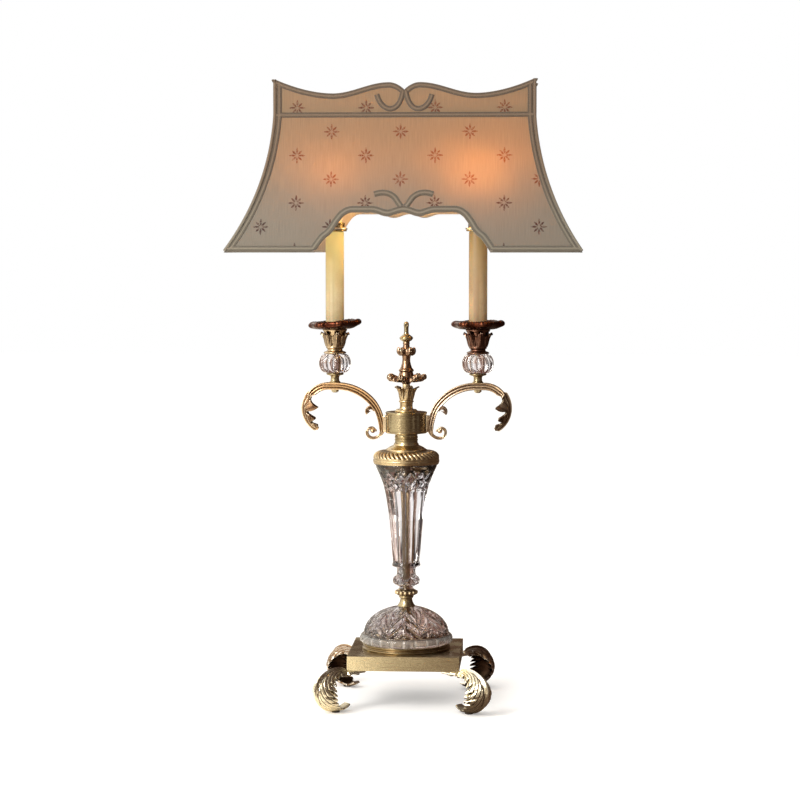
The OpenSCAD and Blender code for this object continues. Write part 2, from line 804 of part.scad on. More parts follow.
module finial_knob() {
    stud_l = knob_z - rod_top_z - 1;
    color(brass)
        translate([0, 0, knob_z])
            difference() {
                union() {
                    turning([
                        [0, 0], [4, 0], [4.4, 1], [6.8, 2.2], [8.4, 4.4], [8.2, 5.6], [5.6, 8], [3.2, 9.4],
                        [2.8, 12], [3, 22], [2.2, 24.4], [0, 25]
                    ]);
                    translate([0, 0, -stud_l]) cylinder(r = finial_stud_r, h = stud_l + 1);
                }
                translate([0, -5, 20.5]) rotate([-90, 0, 0]) cylinder(r = 1.1, h = 10);
            }
}

// ---------------------------------------------------------------- arms

arm_back_groove = 2.8;
arm_front_groove = 1.3;
lead_y = arm_depth / 2 - arm_back_groove + 1.2 * lead_r + 0.3;
root_from_z = drum_z + 1;
root_h = drum_h - 3;
root_t = 3.5;
lead_end_a = 163;
lead_entry_z = arm_cz + arm_mid_r * sin(lead_end_a) - 2;
nut_seat_z = arm_top_z - arm_w + 0.6;

// Stations of an arm, from the tip of its leaf over the candle and down to the ball of its volute.
// Each is a ring across the arm, and the outward side of every arc is the upper face of the arm.
leaf_tip_a = -64;
leaf_root_a = 48;
function leaf_thick(s) = 2.4 + (arm_w - 2.4) * ease((s - 0.75) / 0.25);
function leaf_half_w(s) = s < 0.4
    ? 2.5 + (arm_leaf_half_w - 2.5) * ease(s / 0.4)
    : arm_depth / 2 + (arm_leaf_half_w - arm_depth / 2) * ease((1 - s) / 0.6);
arm_leaf = [for (i = [0:15]) let (s = i / 16)
    leaf_ring([arm_end_cx, arm_end_cz], arm_end_r, leaf_tip_a + (leaf_root_a - leaf_tip_a) * s,
              leaf_half_w(s), leaf_thick(s),
              curl = 9 * sin(180 * min(1, s + 0.1)) * (1 - ease((s - 0.6) / 0.4)),
              cut = 0.34 * pow(sin(180 * 3.5 * s), 2) * (1 - ease((s - 0.7) / 0.3)),
              lean = 10 * sin(180 * s), rib = 0.5 * (1 - s),
              front = arm_front_groove * ease((s - 0.8) / 0.2),
              back = arm_back_groove * ease((s - 0.8) / 0.2))
];
function plain_ring(c, mid_r, a, thick, depth, groove = 1) =
    leaf_ring(c, mid_r + thick / 2, a, depth / 2, thick,
              front = arm_front_groove * groove, back = arm_back_groove * groove);
arm_crest = [for (a = [leaf_root_a:14:90]) plain_ring([arm_end_cx, arm_end_cz], arm_end_mid_r, a, arm_w, arm_depth)];
function arm_thick(a) = arm_w + (root_thick - arm_w) * ease((a - 135) / 35);
root_thick = 5;
arm_long_arc = [for (a = [90:9:171])
    plain_ring([arm_cx, arm_cz], arm_mid_r, a, arm_thick(a), arm_depth)];

// Arcs of the volute as [radius, first angle, last angle], each tangent to the one before it.
volute_arcs = [[13, 178, 270], [7, 275, 360], [5.4, 372, 450], [3.8, 465, 545]];
volute_depth = 8;
// Centre of an arc of radius r that leaves an arc of radius r0 about c0 at angle a.
function next_centre(c0, r0, r, a) = c0 + (r0 - r) * [cos(a), sin(a)];
volute_c0 = next_centre([arm_cx, arm_cz], arm_mid_r, volute_arcs[0][0], 171);
volute_c1 = next_centre(volute_c0, volute_arcs[0][0], volute_arcs[1][0], 270);
volute_c2 = next_centre(volute_c1, volute_arcs[1][0], volute_arcs[2][0], 360);
volute_c3 = next_centre(volute_c2, volute_arcs[2][0], volute_arcs[3][0], 450);
volute_centres = [volute_c0, volute_c1, volute_c2, volute_c3];
function volute_thick(a) = a < 270 ? root_thick + (volute_t - root_thick) * ease((a - 178) / 60)
    : volute_t * (1 + 0.55 * ease((a - 505) / 25));
arm_volute = [for (k = [0:3]) let (v = volute_arcs[k]) each
    [for (i = [0:4]) let (a = v[1] + (v[2] - v[1]) * i / 4)
        plain_ring(volute_centres[k], v[0], a, volute_thick(a),
                   volute_depth + (arm_depth - volute_depth) * ease((230 - a) / 50),
                   a < 230 ? ease((230 - a) / 50) : 0)]
];

// Small rolled leaf that springs from the inner face of the arm above the volute.
curl_c = [drum_r + 18.6, drum_z + 26.4];
curl_r = 6.4;
arm_curl = [for (a = [-40:24:176])
    leaf_ring(curl_c, curl_r + 0.6 * ease((a - 120) / 60), a, 4.5, 2.2 + 1.4 * ease((-10 - a) / 30))];

module arm() {
    difference() {
        union() {
            loft(concat(arm_leaf, arm_crest, arm_long_arc, arm_volute));
            loft(arm_curl);
            translate([drum_r - 1, 1 - arm_depth / 2, root_from_z])
                cube([root_t + 1, arm_depth - 1 - arm_back_groove - 0.4, root_h]);
        }
        translate([0, 0, drum_z - 20]) cylinder(r = drum_r + 0.02, h = 60);
        translate([candle_x, 0, arm_cz]) cylinder(r = nipple_r + 0.1, h = arm_arc_r + 1);
        translate([candle_x, 0, arm_cz]) cylinder(r = 5.4, h = nut_seat_z - arm_cz);
        for (z = arm_screw_z)
            translate([0, 0, z]) rotate([0, 90, 0]) cylinder(r = arm_screw_r + 0.05, h = drum_r + arm_screw_bite + 0.5);
        translate([drum_r - 2, arm_depth / 2 - arm_back_groove - 0.2, lead_entry_z - lead_r - 1])
            cube([8, arm_depth, 2 * lead_r + 6]);
    }
}

module arm_left() { color(bronze) mirror([1, 0, 0]) arm(); }
module arm_right() { color(bronze) arm(); }

module arm_screws() {
    head_r = 3;
    head_h = 2;
    color(steel)
        for (side = [0, 180], z = arm_screw_z)
            rotate([0, 0, side]) translate([drum_bore_r - head_h - 0.4, 0, z]) rotate([0, 90, 0])
                union() {
                    cylinder(r = head_r, h = head_h);
                    cylinder(r = arm_screw_r, h = head_h + 0.4 + drum_wall + arm_screw_bite);
                }
}

// Round ring of points of the lead about p, which runs in the XZ plane in the direction of angle a.
function lead_ring(p, a) = [for (j = [0:7]) let (u = 45 * j) [
    p[0] + lead_r * cos(u) * cos(a), lead_y + lead_r * sin(u), p[1] + lead_r * cos(u) * sin(a)
]];
lead_rings = concat(
    [for (i = [0:8]) let (a = 94 + (lead_end_a - 94) * i / 8)
        lead_ring([arm_cx, arm_cz] + arm_mid_r * [cos(a), sin(a)], a)],
    [lead_ring([drum_r + 2.2, lead_entry_z + 0.3], 120), lead_ring([drum_r - 5, lead_entry_z], 90)]
);

module arm_leads() {
    color("#cbb98a")
        for (side = [0, 1])
            mirror([side, 0, 0]) loft(lead_rings);
}

// ---------------------------------------------------------------- candle stations

nipple_bore_r = nipple_r - 1;
nozzle_nut_h = 3;
nozzle_nut_r = 4.6;
nipple_low_z = nut_seat_z - nozzle_nut_h - 1;
nipple_top_z = socket_z + 8;

module candle_nipples() {
    color("#a5895a")
        for (side = [-1, 1])
            at_candle(side) washer(nipple_r, nipple_bore_r, nipple_low_z, nipple_top_z - nipple_low_z);
}

module nozzle_nuts() {
    color(brass)
        for (side = [-1, 1])
            at_candle(side) translate([0, 0, nut_seat_z - nozzle_nut_h])
                difference() {
                    cylinder(r = nozzle_nut_r, h = nozzle_nut_h, $fn = 6);
                    translate([0, 0, -1]) cylinder(r = nipple_r + 0.05, h = nozzle_nut_h + 2);
                }
}

module nozzle() {
    color(brass)
        translate([0, 0, nozzle_z])
            difference() {
                turning([
                    [0, 0], [6.6, 0], [6.6, 1], [5.4, 1.8], [5, nozzle_h - 5], [6, nozzle_h - 4],
                    [10.5, nozzle_h - 2.6], [10.5, nozzle_h - 1], [9, nozzle_h], [0, nozzle_h]
                ]);
                translate([0, 0, -1]) cylinder(r = nipple_r + 0.1, h = nozzle_h + 2);
            }
}

module nozzle_left() { at_candle(-1) nozzle(); }
module nozzle_right() { at_candle(1) nozzle(); }

module glass_ball() {
    steps = 7;
    around = 3 * ball_lobes;
    flat_r = 11;
    color(crystal, 0.5)
        translate([0, 0, ball_z])
            difference() {
                loft([for (i = [0:steps]) let (
                        u = 2 * i / steps - 1,
                        r = flat_r + (ball_r - 1 - flat_r) * sqrt(max(0, 1 - u * u)),
                        amp = 1 * sqrt(max(0, 1 - u * u))
                    ) [for (j = [0:around - 1]) let (phi = 360 * j / around, wave = abs(sin(ball_lobes * phi / 2)))
                        [(r + amp * (2 * wave - 1)) * cos(phi), (r + amp * (2 * wave - 1)) * sin(phi),
                         ball_h * (1 - cos(180 * i / steps)) / 2]
                    ]]);
                translate([0, 0, -1]) cylinder(r = nipple_r + 0.3, h = ball_h + 2);
            }
}

module glass_ball_left() { at_candle(-1) glass_ball(); }
module glass_ball_right() { at_candle(1) glass_ball(); }

module candle_cup() {
    h = cup_h;
    color(bronze)
        translate([0, 0, cup_z])
            difference() {
                union() {
                    turning([
                        [0, 0], [12, 0], [13.7, 0.8], [13.7, 2], [11, 3], [8.4, 3.8], [8, 6], [9, 7.4],
                        [8.6, 8.6], [10, 10], [11, h - 9], [11, h - 4], [14, h - 3], [15, h - 2],
                        [15, h - 0.6], [14, h], [0, h]
                    ]);
                    lobed_turning([
                        [7, 8.2, 0, 0], [10.2, 9.6, 0, 0], [11.9, h - 16, 0.3, 0], [13, h - 10.5, 1, 0],
                        [15, h - 6.6, 1.8, 0.4], [16.6, h - 5.6, 2, 0.6], [15, h - 5, 1.6, 0.2],
                        [8, h - 8.6, 0, 0]
                    ], 5, 40);
                }
                translate([0, 0, -1]) cylinder(r = nipple_r + 0.1, h = h + 2);
            }
}

module candle_cup_left() { at_candle(-1) candle_cup(); }
module candle_cup_right() { at_candle(1) candle_cup(); }

module bobeche() {
    t = bobeche_t;
    r = bobeche_r;
    color(bronze)
        translate([0, 0, bobeche_z])
            difference() {
                union() {
                    washer(15.2, nipple_r + 0.1, 0, t);
                    lobed_turning([
                        [12, 0.05, 0, 0], [16, 0, 0.2, 0], [21, 1.2, 1, 0.3], [r - 4, 4, 1.8, 0.7],
                        [r - 1, 7, 2, 1.2], [r, 8.4, 2, 1.4], [r - 1.4, 9, 2, 1.4], [r - 3.4, 7.4, 1.9, 1.1],
                        [r - 7, 4.4, 1.6, 0.6], [20, 2.8, 0.8, 0.2], [15, t + 0.1, 0.1, 0], [12, t - 0.05, 0, 0]
                    ], petals, 36);
                }
                translate([0, 0, -10]) cylinder(r = nipple_r + 0.1, h = 20);
            }
}

module bobeche_left() { at_candle(-1) bobeche(); }
module bobeche_right() { at_candle(1) bobeche(); }

module candle_sleeve() {
    color(ivory) washer(candle_r, candle_r - candle_wall, candle_z + 0.1, candle_h - 0.1);
}

module candle_sleeve_left() { at_candle(-1) candle_sleeve(); }
module candle_sleeve_right() { at_candle(1) candle_sleeve(); }

module socket() {
    color("#2f2b28")
        translate([0, 0, socket_z])
            difference() {
                union() {
                    cylinder(r = 5, h = 14);
                    translate([0, 0, 12]) cylinder(r = socket_r, h = socket_h - 12);
                }
                translate([0, 0, -1]) cylinder(r = nipple_r + 0.05, h = 10);
                translate([0, 0, bulb_low_z - bulb_base_h - 0.3 - socket_z])
                    cylinder(r = bulb_base_r + bulb_gap, h = bulb_base_h + 2);
            }
}

module socket_left() { at_candle(-1) socket(); }
module socket_right() { at_candle(1) socket(); }

module candle_collar() {
    bore = socket_r + 0.3;
    color(brass)
        translate([0, 0, collar_z])
            turning([
                [bore, 0], [collar_flange_r, 0], [collar_flange_r, collar_flange_t],
                [collar_tube_r, collar_flange_t], [collar_tube_r, collar_h - 2],
                [collar_tube_r - 0.8, collar_h], [collar_tube_r - 2.2, collar_h],
                [collar_tube_r - 2.2, collar_flange_t], [bore, collar_flange_t]
            ]);
}

module candle_collar_left() { at_candle(-1) candle_collar(); }
module candle_collar_right() { at_candle(1) candle_collar(); }

module bulb_base() {
    color(steel)
        translate([0, 0, bulb_low_z - bulb_base_h])
            turning([
                [0, 0], [2.5, 0], [3, 1.4], [bulb_base_r - 0.6, 2.6], [bulb_base_r, 4],
                [bulb_base_r, bulb_base_h], [0, bulb_base_h]
            ]);
}

module bulb_base_left() { at_candle(-1) bulb_base(); }
module bulb_base_right() { at_candle(1) bulb_base(); }

// Flame shaped bulb: a waist at the base, widest at a third, drawn out to a rounded tip.
module bulb_glass() {
    h = bulb_h;
    low = bulb_base_r;
    color("#ffe9b0")
        translate([0, 0, bulb_low_z])
            turning(concat(
                [[0, 0], [low, 0]],
                [for (i = [1:6]) let (u = i / 6) [low + (bulb_r - low) * ease(u), 0.3 * h * u]],
                [for (i = [1:9]) let (u = i / 10) [bulb_r * pow(1 - pow(u, 1.7), 0.95) + 0.6 * u, 0.3 * h + 0.7 * h * u]],
                [[1, h - 1], [0, h]]
            ));
}

module bulb_glass_left() { at_candle(-1) bulb_glass(); }
module bulb_glass_right() { at_candle(1) bulb_glass(); }

// ---------------------------------------------------------------- shade

// How far the shade flares out at a height below the band, as a share of the whole flare. The
// profile is an arc that leaves the band at flare_start from the vertical.
chord = sqrt(pow(shade_flare_w, 2) + pow(shade_band_h, 2));
chord_a = atan(shade_flare_w / shade_band_h);
profile_r = chord / 2 / sin(chord_a - flare_start);
function flare_at(z) = let (
        drop = max(0, band_z - z),
        a = asin(sin(flare_start) + drop / profile_r)
    ) profile_r * (cos(flare_start) - cos(a)) / shade_flare_w;
function half_w_at(z) = shade_top_w + shade_flare_w * flare_at(z);
function half_d_at(z) = shade_top_d + shade_flare_d * flare_at(z);

profile_z = concat(
    [for (i = [0:profile_steps]) shade_z + shade_band_h * i / profile_steps], [crown_z + 5]
);

// Upper edge of the front and back panels: corner tips, a dip, a hump and a notch at the middle.
notch_z = crown_z - 13;
hump_z = crown_z - 4;
dip_z = crown_z - 17;
hump_x = 18.5;
dip_x = 86;
function crest(x) = let (u = abs(x))
    u < hump_x ? notch_z + (hump_z - notch_z) * sin(90 * u / hump_x)
    : u < dip_x ? hump_z + (dip_z - hump_z) * ease((u - hump_x) / (dip_x - hump_x))
    : dip_z + (crown_z - dip_z) * pow((u - dip_x) / (shade_top_w - dip_x), 1.8);
crest_x = concat(
    [for (i = [0:6]) shade_top_w + (dip_x - shade_top_w) * i / 6],
    [for (i = [1:6]) dip_x + (hump_x - dip_x) * i / 6],
    [for (i = [1:4]) hump_x * (1 - i / 4)]
);

// Lower edge: level from the corner to the foot of the arch, then up a curved shoulder to its top.
arch_hump_x = 19;
arch_hump = 4.5;
function arch(x) = let (u = abs(x), top = shade_z + arch_h)
    u < 2 * arch_hump_x ? top - arch_hump * pow(sin(90 * u / arch_hump_x), 2)
    : u < arch_top_w ? top
    : top - arch_h * pow((u - arch_top_w) / (arch_foot_w - arch_top_w), 1.25);
arch_x = concat(
    [for (i = [0:8]) 2 * arch_hump_x * i / 8],
    [for (i = [0:8]) arch_top_w + (arch_foot_w - arch_top_w) * i / 8]
);

// Half of the outline of the front panel, anticlockwise from the middle of the arch.
front_half = concat(
    [for (x = arch_x) [x, arch(x)]],
    [for (z = profile_z) if (z < crown_z) [half_w_at(z), z]],
    [for (x = crest_x) [x, crest(x)]]
);

// Upper edge of the end panels, hollow between the corner tips, and half of their outline, which
// ends a distance beyond the outer face of the front and back fabric.
side_dip = 17;
function side_crest(y) = crown_z - side_dip * (1 - pow(abs(y) / shade_top_d, 2));
function side_half(beyond) = concat(
    [[0, shade_z]],
    [for (z = profile_z) if (z < crown_z) [half_d_at(z) + beyond, z]],
    [for (i = [0:6]) let (y = (shade_top_d + beyond) * (1 - i / 6)) [y, side_crest(y)]]
);

// Both halves of an outline that is given for x >= 0, from its lower middle to its upper middle.
function whole(half) = concat(half, [for (i = [len(half) - 2:-1:1]) [-half[i][0], half[i][1]]]);

// Outline moved inwards by d, each point along the bisector of its corner.
function inset(p, d) = [for (i = [0:len(p) - 1])
    let (
        a = p[i] - p[(i + len(p) - 1) % len(p)], b = p[(i + 1) % len(p)] - p[i],
        na = [-a[1], a[0]] / norm(a), nb = [-b[1], b[0]] / norm(b),
        m = na + nb
    ) p[i] + m * d / max(0.35, m * m / 2)
];

// Strip between two offsets of the profile, given by its distance from the middle plane.
function strip(from, to, flared) = concat(
    [for (z = profile_z) [(flared ? half_w_at(z) : half_d_at(z)) + to, z]],
    [for (i = [len(profile_z) - 1:-1:0]) let (z = profile_z[i])
        [(flared ? half_w_at(z) : half_d_at(z)) + from, z]]
);

// Layer of the front panel between two offsets, cut to the child outline drawn in the XZ plane.
module front_layer(from, to) {
    reach = 2 * (shade_top_w + shade_flare_w + 20);
    intersection() {
        translate([-reach / 2, 0, 0]) rotate([90, 0, 90]) linear_extrude(reach)
            mirror([1, 0]) polygon(strip(from, to, false));
        rotate([90, 0, 0]) linear_extrude(shade_top_d + shade_flare_d + 20)
            children();
    }
}

// Layer of the right hand panel, cut to the child outline drawn in the YZ plane.
module side_layer(from, to) {
    reach = 2 * (shade_top_d + shade_flare_d + 20);
    intersection() {
        translate([0, reach / 2, 0]) rotate([90, 0, 0]) linear_extrude(reach)
            polygon(strip(from, to, true));
        rotate([90, 0, 90]) linear_extrude(shade_top_w + shade_flare_w + 20) children();
    }
}

module front_panel() {
    front_layer(-fabric_t, 0) polygon(whole(front_half));
}

module side_panel() {
    side_layer(-fabric_t, 0) polygon(whole(side_half(-fabric_t)));
}

module shade_front() { color(silk) front_panel(); }
module shade_back() { color(silk) mirror([0, 1, 0]) front_panel(); }
module shade_side_right() { color(silk) side_panel(); }
module shade_side_left() { color(silk) mirror([1, 0, 0]) side_panel(); }

// Curved strand of braid about c, from angle a to angle b, with round ends.
strand_w = 5;
module strand(c, r, a, b) {
    polygon(concat(arc(c, r + strand_w / 2, a, b, 10), arc(c, r - strand_w / 2, b, a, 10)));
    for (end = [a, b])
        translate(c + r * [cos(end), sin(end)]) circle(r = strand_w / 2, $fn = 12);
}

// Scrolls of braid under the notch of the crest and over the middle of the arch.
module scrolls() {
    for (side = [0, 1])
        mirror([side, 0]) {
            strand([hump_x, notch_z - 8], hump_x - strand_w / 2 - 0.5, -190, 5);
            strand([arch_hump_x * 1.25, shade_z + arch_h + 9], arch_hump_x * 0.62, 20, 185);
        }
}

// Braid of the front panel: all edges and the band, on the outer face of the fabric.
module front_braid() {
    outline = whole(front_half);
    front_layer(0, braid_t)
        union() {
            difference() {
                polygon(outline);
                polygon(inset(outline, braid_w));
            }
            intersection() {
                polygon(outline);
                translate([-shade_top_w - 20, band_z - braid_w / 2]) square([2 * shade_top_w + 40, braid_w * 0.8]);
            }
            scrolls();
        }
}

module side_braid() {
    outline = whole(side_half(braid_t));
    side_layer(0, braid_t)
        union() {
            difference() {
                polygon(outline);
                polygon(inset(outline, braid_w));
            }
            intersection() {
                polygon(outline);
                translate([-shade_top_d, band_z - braid_w / 2]) square([2 * shade_top_d, braid_w * 0.8]);
            }
        }
}

module shade_trim() {
    color(braid)
        union() {
            front_braid();
            mirror([0, 1, 0]) front_braid();
            side_braid();
            mirror([1, 0, 0]) side_braid();
        }
}

// Wire frame inside the fabric: corner ribs, rails around them at the band, and at each end a rail
// with a bar to the ring that rests on the flange of the candle collar.
frame_gap = fabric_t + wire_r + 0.3;
ring_t = 2.2;
ring_r = ring_bore_r + 2.6;

// Closed ring of points about p, in the plane across a rib that runs mostly upwards.
function wire_ring(p, sides) = [for (j = [0:sides - 1])
    p + wire_r * [cos(360 * j / sides), sin(360 * j / sides), 0]];

module rib(sx, sy) {
    low = shade_z + 3;
    high = crown_z - 22;
    steps = 9;
    loft([for (i = [0:steps]) let (z = low + (high - low) * i / steps)
        wire_ring([sx * (half_w_at(z) - frame_gap), sy * (half_d_at(z) - frame_gap), z], 6)]);
}

module bar(from, to) {
    length = to - from;
    translate([from, -wire_r, ring_z]) cube([length, 2 * wire_r, ring_t]);
}

// Rail across the end of the frame, between the ribs at height z.
module end_rail(z) {
    x = half_w_at(z + 2 * wire_r) - frame_gap;
    y = half_d_at(z) - frame_gap;
    translate([x - wire_r, -y, z]) cube([2 * wire_r, 2 * y, 2 * wire_r]);
}

module shade_frame() {
    color(steel)
        union() {
            for (sx = [-1, 1], sy = [-1, 1])
                rib(sx, sy);
            for (side = [0, 1])
                mirror([side, 0, 0]) {
                    translate([candle_x, 0, 0]) washer(ring_r, ring_bore_r, ring_z, ring_t);
                    bar(candle_x + ring_bore_r + 1, half_w_at(ring_z + 2 * wire_r) - frame_gap);
                    end_rail(ring_z - 0.4);
                    end_rail(band_z);
                }
            for (side = [-1, 1])
                translate([frame_gap - shade_top_w, side * (shade_top_d - frame_gap) - wire_r, band_z])
                    cube([2 * (shade_top_w - frame_gap), 2 * wire_r, 2 * wire_r]);
        }
}

base_pan();
base_weight();
cord_bushing();
foot_front_left();
foot_front_right();
foot_back_left();
foot_back_right();
foot_screws();
foot_pads();
rod_washer();
rod_nut();
center_rod();
dome_seat_ring();
dome_gasket();
glass_dome();
lower_neck();
beaded_collar();
glass_column();
vase_cap();
upper_neck();
arm_drum();
drum_lid();
switch_body();
switch_nut();
switch_knob();
finial_leaf_cup();
finial_dish();
finial_baluster();
finial_knob();
arm_left();
arm_right();
arm_screws();
arm_leads();
candle_nipples();
nozzle_nuts();
nozzle_left();
nozzle_right();
glass_ball_left();
glass_ball_right();
candle_cup_left();
candle_cup_right();
bobeche_left();
bobeche_right();
candle_sleeve_left();
candle_sleeve_right();
socket_left();
socket_right();
candle_collar_left();
candle_collar_right();
bulb_glass_left();
bulb_glass_right();
bulb_base_left();
bulb_base_right();
shade_front();
shade_back();
shade_side_left();
shade_side_right();
shade_trim();
shade_frame();
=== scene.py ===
"""Looks of a two-light bouillotte lamp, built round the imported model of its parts.

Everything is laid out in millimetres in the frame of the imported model: +X along the arms, -Y to the
front, +Z up. Meshes are written in metres.
"""

import json
import logging
import math
from dataclasses import dataclass, field, replace
from enum import Enum
from typing import Callable, Optional, Sequence

import bmesh
import bpy
import numpy as np
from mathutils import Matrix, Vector


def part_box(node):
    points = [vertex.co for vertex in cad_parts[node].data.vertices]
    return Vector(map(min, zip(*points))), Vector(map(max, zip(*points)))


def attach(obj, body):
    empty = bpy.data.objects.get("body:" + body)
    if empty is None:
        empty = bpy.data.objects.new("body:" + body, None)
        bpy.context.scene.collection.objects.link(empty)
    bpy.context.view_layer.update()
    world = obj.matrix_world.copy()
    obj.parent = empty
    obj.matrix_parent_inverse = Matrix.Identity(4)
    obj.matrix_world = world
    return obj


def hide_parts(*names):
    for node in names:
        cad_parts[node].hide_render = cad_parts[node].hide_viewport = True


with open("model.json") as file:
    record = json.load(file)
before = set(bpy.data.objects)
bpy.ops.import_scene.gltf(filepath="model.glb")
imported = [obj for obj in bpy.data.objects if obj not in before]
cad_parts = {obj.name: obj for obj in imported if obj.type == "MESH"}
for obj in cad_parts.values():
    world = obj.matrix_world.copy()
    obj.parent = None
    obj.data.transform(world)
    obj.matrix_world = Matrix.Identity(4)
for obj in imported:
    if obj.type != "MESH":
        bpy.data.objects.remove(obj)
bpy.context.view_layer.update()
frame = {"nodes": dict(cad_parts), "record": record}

MM = 0.001
TAU = 2 * math.pi
Array = np.ndarray
Colour = tuple[float, float, float]
Rows = Sequence[Sequence[float]]
Socket = bpy.types.NodeSocket
log = logging.getLogger("lamp")
BODY_OF = {node: body for body, nodes in frame["record"]["behaviour"]["bodies"].items() for node in nodes}


class Side(Enum):
    """The two ends of the lamp, as the sign of X."""

    LEFT = -1
    RIGHT = 1

    @property
    def word(self) -> str:
        """The side's name as it stands in the names of the nodes."""
        return self.name.lower()


# ------------------------------------------------------------------ shapes


def ease(u: Array) -> Array:
    """Smooth step from 0 to 1: half a cosine wave."""
    return (1 - np.cos(np.pi * np.clip(u, 0, 1))) / 2


def saw(u: Array) -> Array:
    """Triangle wave: 0 at whole numbers and 1 half way between them."""
    return 1 - np.abs(2 * (u - np.floor(u)) - 1)


def hump(u: Array, centre: float, width: float) -> Array:
    """Bell curve of height 1 about a centre."""
    return np.exp(-(((u - centre) / width) ** 2))


def unit(rows: Array) -> Array:
    """Rows scaled to length 1."""
    return rows / np.linalg.norm(rows, axis=1, keepdims=True)


def running(path: Array) -> Array:
    """Length of a path from its start to each of its points."""
    return np.concatenate([[0], np.cumsum(np.linalg.norm(np.diff(path, axis=0), axis=1))])


def smoothed(values: Array, reach: int) -> Array:
    """Mean of every value and its neighbours within a reach, the ends being kept."""
    padded = np.pad(values, reach, mode="reflect", reflect_type="odd")
    return np.convolve(padded, np.ones(2 * reach + 1) / (2 * reach + 1), "valid")


def capped(points: Array, tips: Array) -> Array:
    """Rings of points with a ring of zero size at each end, at the first and the last of the tips."""
    ends = [np.repeat(tips[k][None, None], points.shape[1], 1) for k in (0, -1)]
    return np.concatenate([ends[0], points, ends[1]])


def rounded(points: Rows, steps: int = 5) -> Array:
    """Rounds the corners of an open profile.

    Each inner corner is replaced by the quadratic curve between the points a radius away on both
    sides, (1-t)^2 a + 2t(1-t) corner + t^2 b.

    Args:
        points: rows of (r, z) or (r, z, radius of the corner).
        steps: points on each corner.

    Returns:
        The profile as rows of (r, z).
    """
    table = np.array([(*p, 0.0) if len(p) == 2 else p for p in points], float)
    corner, radius = table[1:-1, :2], table[1:-1, 2]
    back, ahead = table[:-2, :2] - corner, table[2:, :2] - corner
    far_back = np.linalg.norm(back, axis=1) + 1e-9
    far_ahead = np.linalg.norm(ahead, axis=1) + 1e-9
    a = corner + back * (np.minimum(radius, far_back / 2) / far_back)[:, None]
    b = corner + ahead * (np.minimum(radius, far_ahead / 2) / far_ahead)[:, None]
    t = np.linspace(0, 1, steps)[None, :, None]
    curve = (1 - t) ** 2 * a[:, None] + 2 * t * (1 - t) * corner[:, None] + t**2 * b[:, None]
    return np.vstack([table[:1, :2], curve.reshape(-1, 2), table[-1:, :2]])


def even(path: Array, spacing: float) -> Array:
    """Points along a path at an even spacing, ends included, by its running length."""
    run = running(path)
    keep = np.concatenate([[True], np.diff(run) > 1e-9])
    at = np.linspace(0, run[-1], max(2, int(run[-1] / spacing) + 1))
    return np.stack([np.interp(at, run[keep], path[keep, k]) for k in range(path.shape[1])], -1)


@dataclass(frozen=True)
class Grid:
    """A surface as rows and columns of points in millimetres.

    The rows or the columns can close on themselves. hollow says how deep a point lies in a cavity,
    from 0 to 1, and uv holds a place on the cloth or braid for each point of an open grid.
    """

    points: Array
    loop_rows: bool = False
    loop_cols: bool = True
    hollow: Optional[Array] = None
    uv: Optional[Array] = None

    def quads(self) -> Array:
        """Corner numbers of every face, four to a row, from the row and column of each corner."""
        rows, cols = self.points.shape[:2]
        i = np.arange(rows - (0 if self.loop_rows else 1))[:, None]
        j = np.arange(cols - (0 if self.loop_cols else 1))[None, :]
        below, above = i * cols, ((i + 1) % rows) * cols
        right = (j + 1) % cols
        corners = np.broadcast_arrays(below + j, below + right, above + right, above + j)
        return np.stack(corners, -1).reshape(-1, 4)

    def moved(self, turn: float = 0.0, shift: Sequence[float] = (0, 0, 0), flip: bool = False) -> "Grid":
        """The same grid mirrored in X if asked, turned about Z by degrees, then shifted."""
        a = math.radians(turn)
        spin = np.array([[math.cos(a), math.sin(a), 0], [-math.sin(a), math.cos(a), 0], [0, 0, 1]])
        flipped = self.points * (np.array([-1, 1, 1]) if flip else np.ones(3))
        return replace(self, points=flipped @ spin + np.array(shift, float))


def turned(
    profile: Array,
    around: int = 144,
    shape: Optional[Callable[[Array, Array, Array], tuple[Array, ...]]] = None,
    loop: bool = False,
    hollow: Optional[Array] = None,
) -> Grid:
    """Surface turned about Z.

    Point (i, j) is (r cos p, r sin p, z) with p = 2 pi j / around, where (r, z) is point i of the
    profile, changed by shape(p, r, z) if one is given.

    Args:
        profile: rows of (r, z).
        around: points round the axis.
        shape: returns the new r and z for whole arrays of angle, radius and height, and the depth of
            each point in a cavity as a third array if the shape has cavities.
        loop: whether the profile closes on itself.
        hollow: depth of each profile point in a cavity, from 0 to 1.

    Returns:
        The grid.
    """
    p = (TAU * np.arange(around) / around)[None, :]
    r, z = np.repeat(profile[:, :1], around, 1), np.repeat(profile[:, 1:2], around, 1)
    deep = None if hollow is None else np.repeat(hollow[:, None], around, 1)
    if shape is not None:
        r, z, *cavity = shape(p, r, z)
        deep = cavity[0] if cavity else deep
    points = np.stack([r * np.cos(p), r * np.sin(p), z], -1)
    return Grid(points, loop_rows=loop, hollow=deep)


def tube(path: Array, radius: float, around: int = 12) -> Grid:
    """Round bar along a rising path: circles across its direction, the ends drawn in to a point.

    Args:
        path: rows of (x, y, z).
        radius: radius of the bar.
        around: points round it.

    Returns:
        The grid.
    """
    along = unit(np.gradient(path, axis=0))
    side = unit(np.cross(along, (0.94, 0.31, 0.13)))
    up = np.cross(side, along)
    a = (TAU * np.arange(around) / around)[None, :, None]
    points = path[:, None] + radius * (np.cos(a) * side[:, None] + np.sin(a) * up[:, None])
    return Grid(capped(points, path))


